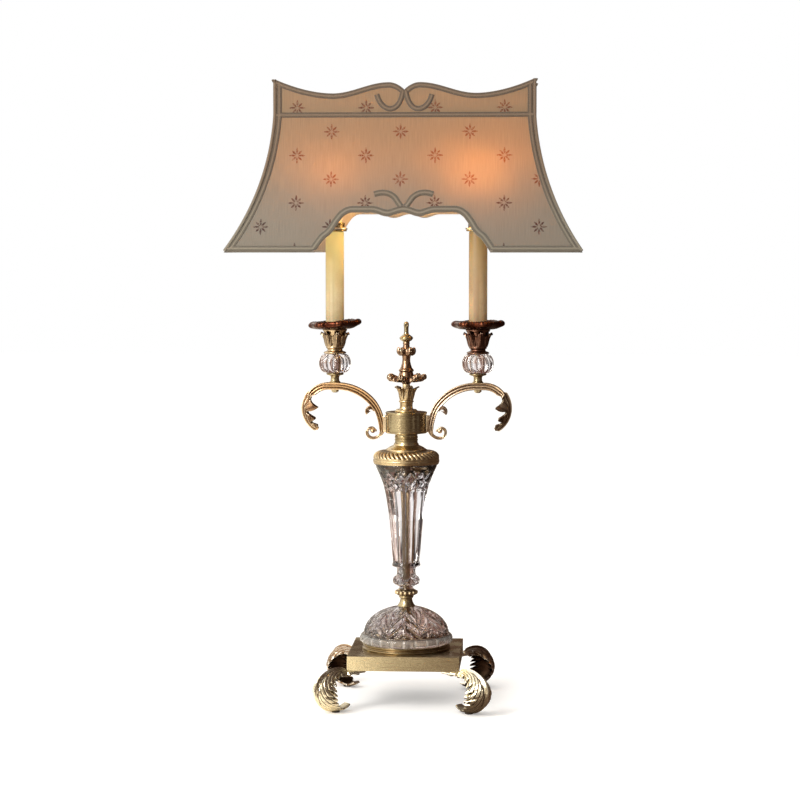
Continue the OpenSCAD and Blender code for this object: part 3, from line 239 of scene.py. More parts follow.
def bar(x: Sequence[float], share: Sequence[float], centre: tuple, half: tuple, power: tuple, around: int) -> Grid:
    """Rounded bar along X with a section of y = h |cos q|^p and z = k |sin q|^p, signs kept.

    Args:
        x: places of the rings.
        share: size of each ring as a share of the full section.
        centre: y and z of the bar's axis.
        half: half the width and half the height of the section.
        power: the two powers; the smaller they are, the squarer the section.
        around: points of a ring.

    Returns:
        The grid.
    """
    q = TAU * np.arange(around) / around
    flat = [h * np.sign(w) * np.abs(w) ** p for h, p, w in zip(half, power, (np.cos(q), np.sin(q)))]
    ring = np.stack([0 * q, *flat], -1)
    return Grid(np.array([(a, *centre) for a in x])[:, None] + ring * np.array(share)[:, None, None])


# The fields of a strap that hold one value for each of its stations
COLUMNS = ("cx", "cz", "r", "a", "half_w", "thick", "curl", "cut", "lean", "front", "back", "vein")


@dataclass(frozen=True)
class Strap:
    """A cast band or leaf that follows arcs in the XZ plane, seen as stations along it.

    A station is a ring of points across the band at angle a of an arc about (cx, cz). With t from -1
    to 1 across and d from 0 at the outer face to 1 at the inner face, both taken round a rounded
    rectangle |t|^p + |2d-1|^p = 1, a point lies at radius r - curl t^2 - relief - d thick and angle
    a + lean t^2, and at y = half_w t, swollen or drawn in along its two flanks. The cut draws t itself
    back, so that a notch shows from the side as well, unless fill keeps the curl at its full depth there.
    Sweep is how far the veins run along the leaf.
    """

    cx: Array
    cz: Array
    r: Array
    a: Array
    half_w: Array
    thick: Array
    curl: Array
    cut: Array
    lean: Array
    front: Array
    back: Array
    vein: Array
    power: float = 7.0
    sweep: float = 4.0
    across: int = 41
    flank: int = 9
    fill: float = 0.0
    slit: float = 1.6
    line: float = 0.9
    shade: float = 0.0

    @staticmethod
    def joined(parts: Sequence["Strap"]) -> "Strap":
        """One strap from several, end to end."""
        return replace(parts[0], **{n: np.concatenate([getattr(p, n) for p in parts]) for n in COLUMNS})

    def section(self) -> tuple[Array, Array]:
        """Places (t, d) round the rounded rectangle: even along both faces, then even down both flanks."""
        face = np.linspace(-0.94, 0.94, self.across)
        skin = (1 - (1 - np.abs(face) ** self.power) ** (1 / self.power)) / 2
        down = np.linspace(skin[0], 1 - skin[0], self.flank + 2)[1:-1]
        out = (1 - np.abs(2 * down - 1) ** self.power) ** (1 / self.power)
        t = np.concatenate([face, out, face[::-1], -out])
        return t[None, :], np.concatenate([skin, down, 1 - skin[::-1], down[::-1]])[None, :]

    def grid(self, veins: float = 0.0, ribs: int = 0) -> Grid:
        """The surface, closed at both ends.

        Args:
            veins: depth of the grooves that fan out over a leaf, along psi = vein - sweep sqrt|t|.
            ribs: number of fine lines that run along each flank of the band.

        Returns:
            The grid with its inner face marked as hollow.
        """
        t, d = self.section()
        col = {n: getattr(self, n)[:, None] for n in COLUMNS}
        outer = np.clip(1 - 2.4 * d, 0, 1)
        psi = col["vein"] - self.sweep * np.sqrt(np.abs(t) + 0.004)
        notch = (0.5 + 0.5 * np.cos(TAU * col["vein"])) ** self.slit
        pull = t * (1 - col["cut"] * notch * np.abs(t) ** 4)
        groove = (1 - saw(psi)) ** 2 + 0.45 * (1 - saw(3 * psi)) ** 2
        midrib = 1.6 * hump(t, 0, 0.07) - 0.8 * hump(np.abs(t), 0.16, 0.06)
        leafy = np.clip(col["cut"] * 3, 0, 1)
        relief = veins * leafy * (groove * np.clip(np.abs(t) * 3, 0, 1) - midrib) * outer
        thin = 1 - 0.45 * leafy * pull**2
        inward = self.fill * t**2 + (1 - self.fill) * pull**2
        radius = col["r"] - col["curl"] * inward - relief - d * col["thick"] * thin
        angle = np.radians(col["a"] + col["lean"] * pull**2)
        belly = np.clip(1 - (2 * d - 1) ** 2, 0, 1) ** 1.5
        lines = self.line * (1 - saw(ribs * d)) ** 2 * (1 - leafy) * belly
        flank = np.where(t < 0, lines + col["front"] * belly, -col["back"] * belly) * (np.abs(t) > 0.6)
        y = col["half_w"] * pull * (1 - 0.03 * d) + flank
        points = np.stack([col["cx"] + radius * np.cos(angle), y, col["cz"] + radius * np.sin(angle)], -1)
        deep = np.clip(2.2 * d - 1, 0, 1) * np.ones_like(radius) * leafy
        grooves = np.clip(1.6 * (relief / max(veins, 0.1) - 0.45), 0, 0.9)
        deep = np.clip(deep + grooves + self.shade * leafy + lines / self.line * (t < -0.6), 0, 1)
        deep = np.vstack([deep[:1], deep, deep[-1:]])
        return Grid(capped(points, points.mean(1)), hollow=deep)


def stations(n: int, **values: object) -> Strap:
    """Stations of a strap from plain numbers or arrays of length n; what isn't given is zero."""
    return Strap(**{k: np.broadcast_to(np.asarray(values.get(k, 0.0), float), (n,)) for k in COLUMNS})


# ------------------------------------------------------------------ node trees


class Tree:
    """A thin hand on a node tree: adds nodes, feeds their sockets and does small sums."""

    def __init__(self, tree: bpy.types.NodeTree) -> None:
        """Keeps the tree."""
        self.tree = tree

    def feed(self, socket: Socket, value: object) -> None:
        """Links a socket to another one, or sets its plain value."""
        if isinstance(value, Socket):
            self.tree.links.new(value, socket)
        elif isinstance(value, tuple) and len(value) == 3 and socket.type == "RGBA":
            socket.default_value = (*value, 1.0)
        else:
            socket.default_value = value

    def add(self, kind: str, inputs: Optional[dict] = None, **settings: object) -> bpy.types.NodeOutputs:
        """Outputs of a new shader node of a kind, with its settings and its inputs by name or number."""
        node = self.tree.nodes.new("ShaderNode" + kind)
        for key, value in settings.items():
            setattr(node, key, value)
        for key, value in (inputs or {}).items():
            self.feed(node.inputs[key], value)
        return node.outputs

    def calc(self, operation: str, a: object, b: object = 0.0, c: object = 0.0, clamp: bool = False) -> Socket:
        """Result of a sum on one, two or three values."""
        return self.add("Math", {0: a, 1: b, 2: c}, operation=operation, use_clamp=clamp)[0]

    def plus(self, a: object, b: object) -> Socket:
        """Sum of two values."""
        return self.calc("ADD", a, b)

    def minus(self, a: object, b: object) -> Socket:
        """Difference of two values."""
        return self.calc("SUBTRACT", a, b)

    def times(self, a: object, b: object) -> Socket:
        """Product of two values."""
        return self.calc("MULTIPLY", a, b)

    def span(self, value: object, low: float, high: float, to_low: float = 0.0, to_high: float = 1.0) -> Socket:
        """Maps a value smoothly from one range to another, held at its ends."""
        inputs = {"Value": value, "From Min": low, "From Max": high, "To Min": to_low, "To Max": to_high}
        return self.add("MapRange", inputs, interpolation_type="SMOOTHSTEP")[0]

    def window(self, value: object, rise: tuple[float, float], fall: tuple[float, float]) -> Socket:
        """1 between two smooth steps, each from the value where it is 0 to the value where it is 1."""
        return self.times(self.span(value, *rise), self.span(value, *fall))

    def mix(self, share: object, a: object, b: object, mode: str = "MIX") -> Socket:
        """Mix of two colours."""
        return self.add("Mix", {0: share, 6: a, 7: b}, data_type="RGBA", blend_type=mode)[2]

    def noise(self, vector: object, scale: float, detail: float = 3.0, rough: float = 0.55) -> Socket:
        """Value of a noise texture."""
        inputs = {"Vector": vector, "Scale": scale, "Detail": detail, "Roughness": rough}
        return self.add("TexNoise", inputs)["Fac"]

    def scaled(self, vector: object, by: tuple[float, float, float]) -> Socket:
        """A vector multiplied part by part."""
        return self.add("VectorMath", {0: vector, 1: by}, operation="MULTIPLY")[0]

    def split(self, vector: object) -> bpy.types.NodeOutputs:
        """The three parts of a vector."""
        return self.add("SeparateXYZ", {0: vector})

    def bump(self, height: object, depth: float, strength: float = 1.0) -> Socket:
        """Normal from a height, depth being the distance in metres that a height of 1 stands for."""
        return self.add("Bump", {"Strength": strength, "Distance": depth, "Height": height})["Normal"]

    def place(self) -> Socket:
        """Object coordinates."""
        return self.add("TexCoord")["Object"]

    def hollow(self) -> Socket:
        """Depth of the point in a cavity, from 0 to 1."""
        return self.add("Attribute", attribute_name="hollow")["Fac"]

    def principled(self, inputs: dict) -> Socket:
        """A Principled shader."""
        return self.add("BsdfPrincipled", inputs)[0]

    def blend(self, share: object, a: Socket, b: Socket) -> Socket:
        """Mix of two shaders."""
        return self.add("MixShader", {0: share, 1: a, 2: b})[0]

    def group(self, maker: "Group", **inputs: object) -> bpy.types.NodeOutputs:
        """Outputs of a shared group, fed by the names of its sockets with _ for a space."""
        node = self.tree.nodes.new("ShaderNodeGroup")
        node.node_tree = maker.tree()
        for key, value in inputs.items():
            self.feed(node.inputs[key.replace("_", " ")], value)
        return node.outputs


@dataclass(frozen=True)
class Group:
    """A shared effect: a node group that is made once and placed with different values.

    Its sockets are written as Name:Type, and build turns the values of the inputs into the outputs.
    """

    name: str
    inputs: tuple[str, ...]
    outputs: tuple[str, ...]
    build: Callable[..., tuple[Socket, ...]]

    def tree(self) -> bpy.types.NodeTree:
        """The group's node tree, made at its first use."""
        made = bpy.data.node_groups.get(self.name)
        if made is not None:
            return made
        made = bpy.data.node_groups.new(self.name, "ShaderNodeTree")
        for kind, rows in (("INPUT", self.inputs), ("OUTPUT", self.outputs)):
            for row in rows:
                name, socket = row.split(":")
                made.interface.new_socket(name=name, in_out=kind, socket_type="NodeSocket" + socket)
        start, end = made.nodes.new("NodeGroupInput"), made.nodes.new("NodeGroupOutput")
        tree = Tree(made)
        for socket, value in zip(end.inputs, self.build(tree, *start.outputs[: len(self.inputs)])):
            tree.feed(socket, value)
        return made


def _patina(
    t: Tree, vector: Socket, edge: Socket, hollow: Socket, body: Socket, dirt: Socket, worn: Socket,
    patina: Socket, roughness: Socket,
) -> tuple[Socket, ...]:
    """Old cast or turned metal: blotches, dirt in the hollows, bright worn edges, fine scratches."""
    blotch, fine = t.noise(vector, 55.0, 4.0, 0.6), t.noise(vector, 620.0, 3.0, 0.6)
    brushed = t.noise(t.scaled(vector, (30, 30, 1900)), 1.0, 2.0, 0.5)
    soiled = t.plus(t.span(edge, 0.5, 0.44), hollow)
    soiled = t.calc("ADD", soiled, t.times(t.span(blotch, 0.48, 0.72), patina), clamp=True)
    bright = t.times(t.span(edge, 0.51, 0.56), t.span(fine, 0.3, 0.6, 0.5, 1.0))
    colour = t.mix(t.span(fine, 0.35, 0.7, 0.0, 0.35), body, dirt)
    colour = t.mix(bright, t.mix(t.times(soiled, 0.92), colour, dirt), worn)
    rough = t.plus(t.plus(roughness, t.times(soiled, 0.28)), t.span(brushed, 0.3, 0.7, -0.05, 0.07))
    rough = t.calc("SUBTRACT", rough, t.times(bright, 0.08), clamp=True)
    return colour, rough, t.plus(t.plus(t.times(fine, 0.6), t.times(brushed, 0.35)), blotch)


def _mottle(t: Tree, vector: Socket, light: Socket, dark: Socket, share: Socket) -> tuple[Socket, ...]:
    """Uneven tone over a surface: broad clouds with fine speckle on them."""
    clouds, speck = t.noise(vector, 28.0, 4.0, 0.6), t.noise(vector, 900.0, 2.0, 0.6)
    shade = t.plus(t.span(clouds, 0.3, 0.7), t.span(speck, 0.35, 0.65, -0.3, 0.3))
    colour = t.mix(t.calc("MULTIPLY", shade, share, clamp=True), light, dark)
    return colour, t.plus(clouds, t.times(speck, 0.4))


def _weave(t: Tree, vector: Socket, threads: Socket) -> tuple[Socket, ...]:
    """Plain weave with uneven weft threads: two sine waves at right angles, and slubs along U."""
    u, v, _ = t.split(vector)
    warp, weft = t.calc("SINE", t.times(u, threads)), t.calc("SINE", t.times(v, threads))
    slub = t.noise(t.scaled(vector, (1500, 38, 1)), 1.0, 3.0, 0.6)
    cross = t.plus(t.times(t.times(warp, weft), 0.5), 0.5)
    return t.plus(cross, t.times(slub, 1.6)), t.span(slub, 0.3, 0.7)


# Rays of a sprig, and in metres where they start and end, what every other one is longer by, and half their width
RAYS = 8
RAY_START, RAY_END, RAY_EXTRA, RAY_HALF_W = 0.0012, 0.0086, 0.0014, 0.0013


def _stars(t: Tree, vector: Socket, pitch_u: Socket, pitch_v: Socket) -> tuple[Socket, ...]:
    """Scattered eight-pointed sprigs on two lattices half a pitch apart.

    With (x, y) from the nearest lattice point, r its length and w the distance from the nearest ray, a
    stroke is where w is less than a leaf-shaped half width h(r). Every other ray is a little longer.
    """
    u, v, _ = t.split(vector)
    masks = []
    for shift in (0.0, 0.5):
        local = []
        for part, pitch in ((u, pitch_u), (v, pitch_v)):
            cell = t.plus(t.calc("DIVIDE", part, pitch), shift)
            local.append(t.times(t.minus(cell, t.calc("ROUND", cell)), pitch))
        x, y = local
        r = t.calc("SQRT", t.plus(t.times(x, x), t.times(y, y)))
        ray = t.calc("DIVIDE", t.calc("ARCTAN2", y, x), TAU / RAYS)
        off = t.times(t.calc("ABSOLUTE", t.minus(ray, t.calc("ROUND", ray))), TAU / RAYS)
        is_even = t.calc("COMPARE", t.calc("PINGPONG", t.calc("ROUND", ray), 1.0), 0.0, 0.2)
        reach = t.plus(RAY_END, t.times(is_even, RAY_EXTRA))
        along = t.calc("DIVIDE", t.minus(r, RAY_START), t.minus(reach, RAY_START))
        leaf = t.times(t.times(along, t.minus(1.0, along)), 4.0)
        half = t.times(t.calc("MAXIMUM", leaf, 0.0), RAY_HALF_W)
        masks.append(t.span(t.minus(half, t.times(r, off)), -0.0001, 0.0003))
    broken = t.span(t.noise(vector, 420.0, 2.0, 0.6), 0.35, 0.58, 0.3, 0.95)
    return (t.times(t.calc("MAXIMUM", *masks), broken),)


PATINA = Group(
    "patina",
    ("Vector:Vector", "Edge:Float", "Hollow:Float", "Body:Color", "Dirt:Color", "Worn:Color", "Patina:Float",
     "Roughness:Float"),
    ("Color:Color", "Roughness:Float", "Height:Float"),
    _patina,
)
MOTTLE = Group(
    "mottle", ("Vector:Vector", "Light:Color", "Dark:Color", "Share:Float"), ("Color:Color", "Height:Float"), _mottle)
WEAVE = Group("weave", ("Vector:Vector", "Threads:Float"), ("Height:Float", "Slub:Float"), _weave)
STARS = Group("stars", ("Vector:Vector", "Pitch U:Float", "Pitch V:Float"), ("Mask:Float",), _stars)


# ------------------------------------------------------------------ finishes


@dataclass(frozen=True)
class Finish:
    """One finish of the lamp, under the name of its material slot."""

    slot: str
    label: str = field(default="finish", kw_only=True)

    def material(self) -> bpy.types.Material:
        """The Blender material, made at its first use."""
        name = f"{self.slot}_{self.label}"
        made = bpy.data.materials.get(name)
        if made is not None:
            return made
        made = bpy.data.materials.new(name)
        made.use_nodes = True
        made.node_tree.nodes.clear()
        tree = Tree(made.node_tree)
        tree.add("OutputMaterial", {"Surface": self.shader(tree)})
        return made

    def shader(self, t: Tree) -> Socket:
        """The shader of the finish; each kind of finish has its own."""
        raise NotImplementedError


@dataclass(frozen=True)
class Metal(Finish):
    """Old brass, bronze or steel with dirt in its hollows and bright edges."""

    body: Colour = (0.6, 0.5, 0.3)
    dirt: Colour = (0.1, 0.05, 0.03)
    worn: Colour = (0.9, 0.78, 0.5)
    patina: float = 0.35
    roughness: float = 0.24
    depth: float = 0.0002

    def shader(self, t: Tree) -> Socket:
        """Principled metal fed by the patina group."""
        colour, rough, height = t.group(
            PATINA, Vector=t.place(), Edge=t.add("NewGeometry")["Pointiness"], Hollow=t.hollow(), Body=self.body,
            Dirt=self.dirt, Worn=self.worn, Patina=self.patina, Roughness=self.roughness)
        return t.principled({
            "Base Color": colour, "Metallic": 1.0, "Roughness": rough, "Normal": t.bump(height, self.depth, 0.5)})


LEAD_GLASS_IOR = 1.55


@dataclass(frozen=True)
class Crystal(Finish):
    """Clear lead crystal, faintly wavy, with matt white in its cuts, partly frost from grinding and partly painted
    glints, and matt white below a height, a painted highlight.
    """

    tint: Colour = (0.985, 0.99, 0.985)
    # Share of matt white: frost and painted glints in the cuts, a painted highlight below foot_z.
    ground: float = 0.2
    foot_z: float = 0.0

    def shader(self, t: Tree) -> Socket:
        """Principled glass with a shallow bump, mixed with a little matt white: frost and painted glints in the cuts, a
        painted highlight below foot_z.
        """
        place = t.place()
        wave, film = t.noise(place, 90.0, 2.0, 0.5), t.noise(place, 26.0, 4.0, 0.65)
        clear = t.principled({
            "Base Color": t.mix(t.span(film, 0.4, 0.75, 0.0, 0.3), self.tint, (0.93, 0.93, 0.9)),
            "Roughness": t.span(film, 0.45, 0.8, 0.005, 0.06), "IOR": LEAD_GLASS_IOR, "Transmission Weight": 1.0,
            "Normal": t.bump(wave, 0.0004, 0.25),
        })
        matt = t.principled({
            "Base Color": t.mix(t.span(film, 0.3, 0.7), (0.95, 0.93, 0.88), (0.72, 0.66, 0.58)),
            "Roughness": t.span(film, 0.3, 0.7, 0.35, 0.5),
        })
        # Painted highlight: matt white below foot_z.
        below = t.span(t.split(place)[2], self.foot_z + 0.002, self.foot_z, 0.0, 0.4)
        white = t.times(t.calc("MAXIMUM", t.hollow(), below), self.ground)
        return t.blend(t.times(white, t.span(film, 0.3, 0.6, 0.7, 1.0)), clear, matt)


@dataclass(frozen=True)
class Plain(Finish):
    """A solid, unshiny stuff with uneven tone: felt, card, moulded plastic, ceramic or paint."""

    light: Colour = (0.5, 0.5, 0.5)
    dark: Colour = (0.3, 0.3, 0.3)
    roughness: float = 0.6
    depth: float = 0.0003
    metallic: float = 0.0
    coat: float = 0.0

    def shader(self, t: Tree) -> Socket:
        """Principled fed by the mottle group."""
        colour, height = t.group(MOTTLE, Vector=t.place(), Light=self.light, Dark=self.dark, Share=0.7)
        return t.principled({
            "Base Color": colour, "Metallic": self.metallic, "Coat Weight": self.coat,
            "Roughness": t.span(height, 0.3, 1.1, self.roughness - 0.08, self.roughness + 0.08),
            "Normal": t.bump(height, self.depth, 0.6),
        })


@dataclass(frozen=True)
class Ivory(Finish):
    """Candle cover: smooth ivory wax tone, with a painted yellow light and a faint painted glow near its top that stand
    for the lamp above it.
    """

    top: float = 0.575
    light: Colour = (0.60, 0.50, 0.29)
    dark: Colour = (0.42, 0.30, 0.15)
    # near and glow are painted light: a yellow tint and a faint glow on the top of the cover, standing for the lamp
    # above it.
    near: Colour = (0.80, 0.68, 0.27)
    glow: float = 0.06

    def shader(self, t: Tree) -> Socket:
        """Principled with a gradient up the cover, and a painted yellow tint and a faint painted glow near its top."""
        place = t.place()
        # Painted light: the cover is tinted yellow near its top, where the lamp above lights it.
        near = t.span(t.split(place)[2], self.top - 0.09, self.top)
        tone, _ = t.group(MOTTLE, Vector=place, Light=self.light, Dark=self.dark, Share=0.6)
        drips = t.noise(t.scaled(place, (160, 160, 5)), 1.0, 2.0, 0.5)
        colour = t.mix(near, t.mix(t.span(drips, 0.45, 0.62, 0.0, 0.6), tone, self.dark), self.near)
        return t.principled({
            "Base Color": colour, "Roughness": t.span(drips, 0.3, 0.7, 0.3, 0.46),
            "Subsurface Weight": 0.15, "Subsurface Scale": 0.004,
            # Painted glow near the top of the cover, though the cover is no lamp.
            "Emission Color": t.mix(near, (0.0, 0.0, 0.0), (1.0, 0.72, 0.2)), "Emission Strength": self.glow,
            "Normal": t.bump(drips, 0.0003, 0.4),
        })


@dataclass(frozen=True)
class Lamp(Finish):
    """Frosted bulb that glows, brightest at its belly."""

    strength: float = 185.0
    seen_strength: float = 0.7

    def shader(self, t: Tree) -> Socket:
        """Principled with a mild glow to look at, and a strong emission from the belly for what it lights."""
        place = t.place()
        x, _, z = t.split(place)
        share = t.times(t.window(z, (0.600, 0.636), (0.656, 0.650)), t.span(x, -0.05, 0.05, 0.45, 0.95))
        frost = t.noise(place, 700.0, 2.0, 0.5)
        seen = t.principled({
            "Base Color": t.mix(frost, (0.80, 0.70, 0.52), (0.66, 0.52, 0.34)),
            "Roughness": t.span(frost, 0.3, 0.7, 0.2, 0.4),
            "Emission Color": t.mix(t.span(z, 0.585, 0.645), (0.55, 0.26, 0.07), (1.0, 0.72, 0.34)),
            "Emission Strength": self.seen_strength, "Normal": t.bump(frost, 0.0001, 0.3),
        })
        glow = t.mix(share, (0.06, 0.032, 0.011), (1.0, 0.58, 0.20))
        cast = t.add("Emission", {"Color": glow, "Strength": self.strength})[0]
        return t.blend(t.add("LightPath")["Is Camera Ray"], cast, seen)


@dataclass(frozen=True)
class Silk(Finish):
    """Woven silk with embroidered sprigs, warm where a lamp is behind it. Its front is painted warm high up and
    grey-beige at its hem, and its glow painted dimmer towards the hem: painted light and shade.
    """

    # cloth and hem are painted lit and unlit tones of the front: warm orange-tan where the lamps light it, grey-beige
    # at the hem.
    cloth: Colour = (0.29, 0.20, 0.118)
    hem: Colour = (0.255, 0.235, 0.19)
    sprig: Colour = (0.04, 0.011, 0.011)
    glow: Colour = (0.82, 0.475, 0.225)
    sprig_glow: Colour = (0.74, 0.20, 0.05)
    through: float = 0.35
    figured: bool = True
    threads: float = 9000.0
    pitch: tuple[float, float] = (0.0826, 0.0568)

    def shader(self, t: Tree) -> Socket:
        """Principled cloth mixed with a translucent layer, both with the sprigs in them."""
        uv = t.add("UVMap", uv_map="UVMap")[0]
        height, slub = t.group(WEAVE, Vector=uv, Threads=self.threads)
        (mask,) = t.group(STARS, Vector=uv, Pitch_U=self.pitch[0], Pitch_V=self.pitch[1])
        stars = t.times(mask, 1.0 if self.figured else 0.0)
        drop = t.split(uv)[1]
        # Painted light and shade: the front colour runs from the warm lit cloth to the grey unlit hem.
        base = t.mix(t.span(drop, -0.02, -0.15), self.cloth, self.hem)
        base = t.mix(t.times(slub, 0.16), base, (0.10, 0.07, 0.05))
        lit = t.mix(t.times(slub, 0.5), self.glow, (0.60, 0.33, 0.15))
        # Painted shade: the glow through the cloth is painted darker towards the hem.
        lit = t.mix(t.span(drop, -0.05, -0.125, 0.0, 0.6 if self.figured else 0.0), lit, (0.12, 0.07, 0.05))
        normal = t.bump(t.plus(height, t.times(stars, 3.0)), 0.00012, 0.6)
        front = t.principled({
            "Base Color": t.mix(stars, base, self.sprig), "Roughness": t.span(slub, 0.0, 1.0, 0.5, 0.66),
            "Sheen Weight": 0.25, "Sheen Roughness": 0.4, "Normal": normal,
        })
        # Painted shade: the sprigs' glow is painted darker towards the hem.
        sewn = t.mix(t.span(drop, -0.07, -0.12, 0.0, 0.85), self.sprig_glow, (0.08, 0.02, 0.02))
        behind = t.add("BsdfTranslucent", {"Color": t.mix(stars, lit, sewn), "Normal": normal})[0]
        return t.blend(self.through, front, behind)


@dataclass(frozen=True)
class Braid(Finish):
    """Woven gimp braid: cords along its length with a lighter one in the middle."""

    cord: Colour = (0.105, 0.086, 0.062)
    light: Colour = (0.34, 0.295, 0.22)
    # tan is a painted warm tint, standing for the lamps' light through the cloth behind the braid.
    tan: Colour = (0.82, 0.60, 0.48)
    pale: float = 0.6
    twist: float = 4200.0
    slant: float = 22.0

    def shader(self, t: Tree) -> Socket:
        """Principled cloth whose colour and height follow the braid's own width and length."""
        along, across, _ = t.split(t.add("UVMap", uv_map="UVMap")[0])
        twist = t.calc("SINE", t.plus(t.times(along, self.twist), t.times(across, self.slant)))
        centre = t.span(t.calc("ABSOLUTE", t.minus(across, 0.5)), 0.2, 0.08)
        place = t.place()
        fuzz = t.noise(place, 1500.0, 2.0, 0.6)
        colour = t.mix(t.times(centre, self.pale), self.cord, self.light)
        colour = t.mix(t.span(twist, -0.6, 0.8, 0.45, 0.0), colour, (0.07, 0.06, 0.04))
        # Painted light: from the bulbs' height up the braid is tinted warmer and darker by tan.
        colour = t.mix(t.span(t.split(place)[2], 0.575, 0.66), colour, self.tan, "MULTIPLY")
        return t.principled({
            "Base Color": t.mix(t.span(fuzz, 0.4, 0.7, 0.0, 0.25), colour, self.light),
            "Roughness": t.span(fuzz, 0.3, 0.7, 0.7, 0.9), "Sheen Weight": 0.3, "Sheen Roughness": 0.5,
            "Normal": t.bump(t.plus(twist, fuzz), 0.00025, 0.7),
        })


PLATE_BRASS = Metal("plate_brass", (0.36, 0.28, 0.175), (0.17, 0.085, 0.05), (0.86, 0.76, 0.50), 0.25, 0.3)
CAST_BRASS = Metal("cast_brass", (0.72, 0.57, 0.34), (0.07, 0.03, 0.018), (1.0, 0.92, 0.70), 0.3, 0.24)
# Painted highlight: the front feet's pale body and near-white worn edges are a lit copy of the cast brass.
FOOT_BRASS_LIT = replace(
    CAST_BRASS, body=(0.93, 0.84, 0.62), dirt=(0.045, 0.02, 0.012), worn=(1.0, 0.97, 0.86), roughness=0.17,
    label="foot")
# Painted shade: the back feet's dark copy of the same brass.
FOOT_BRASS_SHADED = replace(FOOT_BRASS_LIT, body=(0.30, 0.19, 0.11), label="foot_dark")
TURNED_BRASS = Metal("turned_brass", (0.44, 0.37, 0.22), (0.15, 0.075, 0.042), (0.9, 0.8, 0.54), 0.16, 0.22, 0.0001)
SEAT_BRASS = replace(TURNED_BRASS, body=(0.22, 0.16, 0.075), label="seat")
DARK_BRONZE = Metal("dark_bronze", (0.40, 0.25, 0.155), (0.035, 0.012, 0.009), (1.0, 0.84, 0.60), 0.3, 0.2)
ARM_BRONZE = replace(DARK_BRONZE, body=(0.74, 0.47, 0.245), dirt=(0.05, 0.02, 0.012), patina=0.2, label="arm")
# Painted highlight: the right arm's paler copy of the arm bronze.
ARM_BRONZE_LIT = replace(ARM_BRONZE, body=(0.97, 0.75, 0.54), label="arm_pale")
# Painted light and shade: the left cup's lighter bronze and the right cup's dark copy.
CUP_BRONZE_LIT = replace(DARK_BRONZE, body=(0.58, 0.45, 0.29), label="cup")
CUP_BRONZE_SHADED = replace(DARK_BRONZE, body=(0.20, 0.10, 0.07), worn=(0.6, 0.42, 0.3), label="cup_dark")
# Painted shade: both drip pans near-black, as under the lampshade.
PAN_BRONZE_SHADED = replace(DARK_BRONZE, body=(0.08, 0.022, 0.011), worn=(0.42, 0.17, 0.08), label="pan")
ROD_BRASS = Metal("rod_brass", (0.17, 0.12, 0.075), (0.07, 0.04, 0.025), (0.4, 0.3, 0.18), 0.4, 0.4)
STEEL = Metal("steel", (0.45, 0.44, 0.42), (0.12, 0.10, 0.09), (0.75, 0.75, 0.74), 0.4, 0.35)
BULB_BASE = Metal("bulb_base", (0.62, 0.55, 0.42), (0.25, 0.2, 0.14), (0.85, 0.8, 0.68), 0.2, 0.3)
FRAME_WIRE = Metal("frame_wire", (0.5, 0.47, 0.42), (0.2, 0.15, 0.1), (0.8, 0.78, 0.72), 0.35, 0.38)
CRYSTAL = Crystal("crystal", (0.98, 0.945, 0.93))
# The dome is painted milky white up to 9 mm over its lowest point, a painted highlight on its rim.
ROSE_CRYSTAL = Crystal("crystal", (0.98, 0.90, 0.865), 0.42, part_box("glass_dome")[0].z + 0.009, label="rose")
BALLAST = Plain("ballast", (0.10, 0.10, 0.10), (0.05, 0.045, 0.04), 0.7, 0.0008, 0.4)
FELT = Plain("felt", (0.085, 0.065, 0.05), (0.045, 0.035, 0.028), 0.95, 0.0006)
GASKET = replace(FELT, light=(0.72, 0.62, 0.44), dark=(0.5, 0.4, 0.27), label="gasket")
PHENOLIC = Plain("phenolic", (0.045, 0.035, 0.03), (0.025, 0.02, 0.018), 0.38, 0.0001, 0.0, 0.2)
LEAD_COVER = Plain("lead_cover", (0.62, 0.52, 0.33), (0.45, 0.35, 0.2), 0.5, 0.0002)
LINING = Silk("lining", (0.46, 0.38, 0.29), (0.46, 0.38, 0.29), glow=(0.95, 0.90, 0.80), through=0.30, figured=False)
IVORY = Ivory("ivory")
# Painted shade: the right cover's darker copy of the ivory, with a brown top and no painted glow.
IVORY_SHADED = replace(
    IVORY, light=(0.44, 0.31, 0.165), dark=(0.27, 0.17, 0.085), near=(0.26, 0.19, 0.08), glow=0.0, label="tan")
BULB = Lamp("bulb_glass")
SILK = Silk("silk")
BRAID = Braid("braid")


# ------------------------------------------------------------------ pieces


# Distances in metres below which points are merged: at the seams of a new mesh, and in a mesh of the frame
SEAM_REACH, WELD_REACH = 2e-6, 1e-5


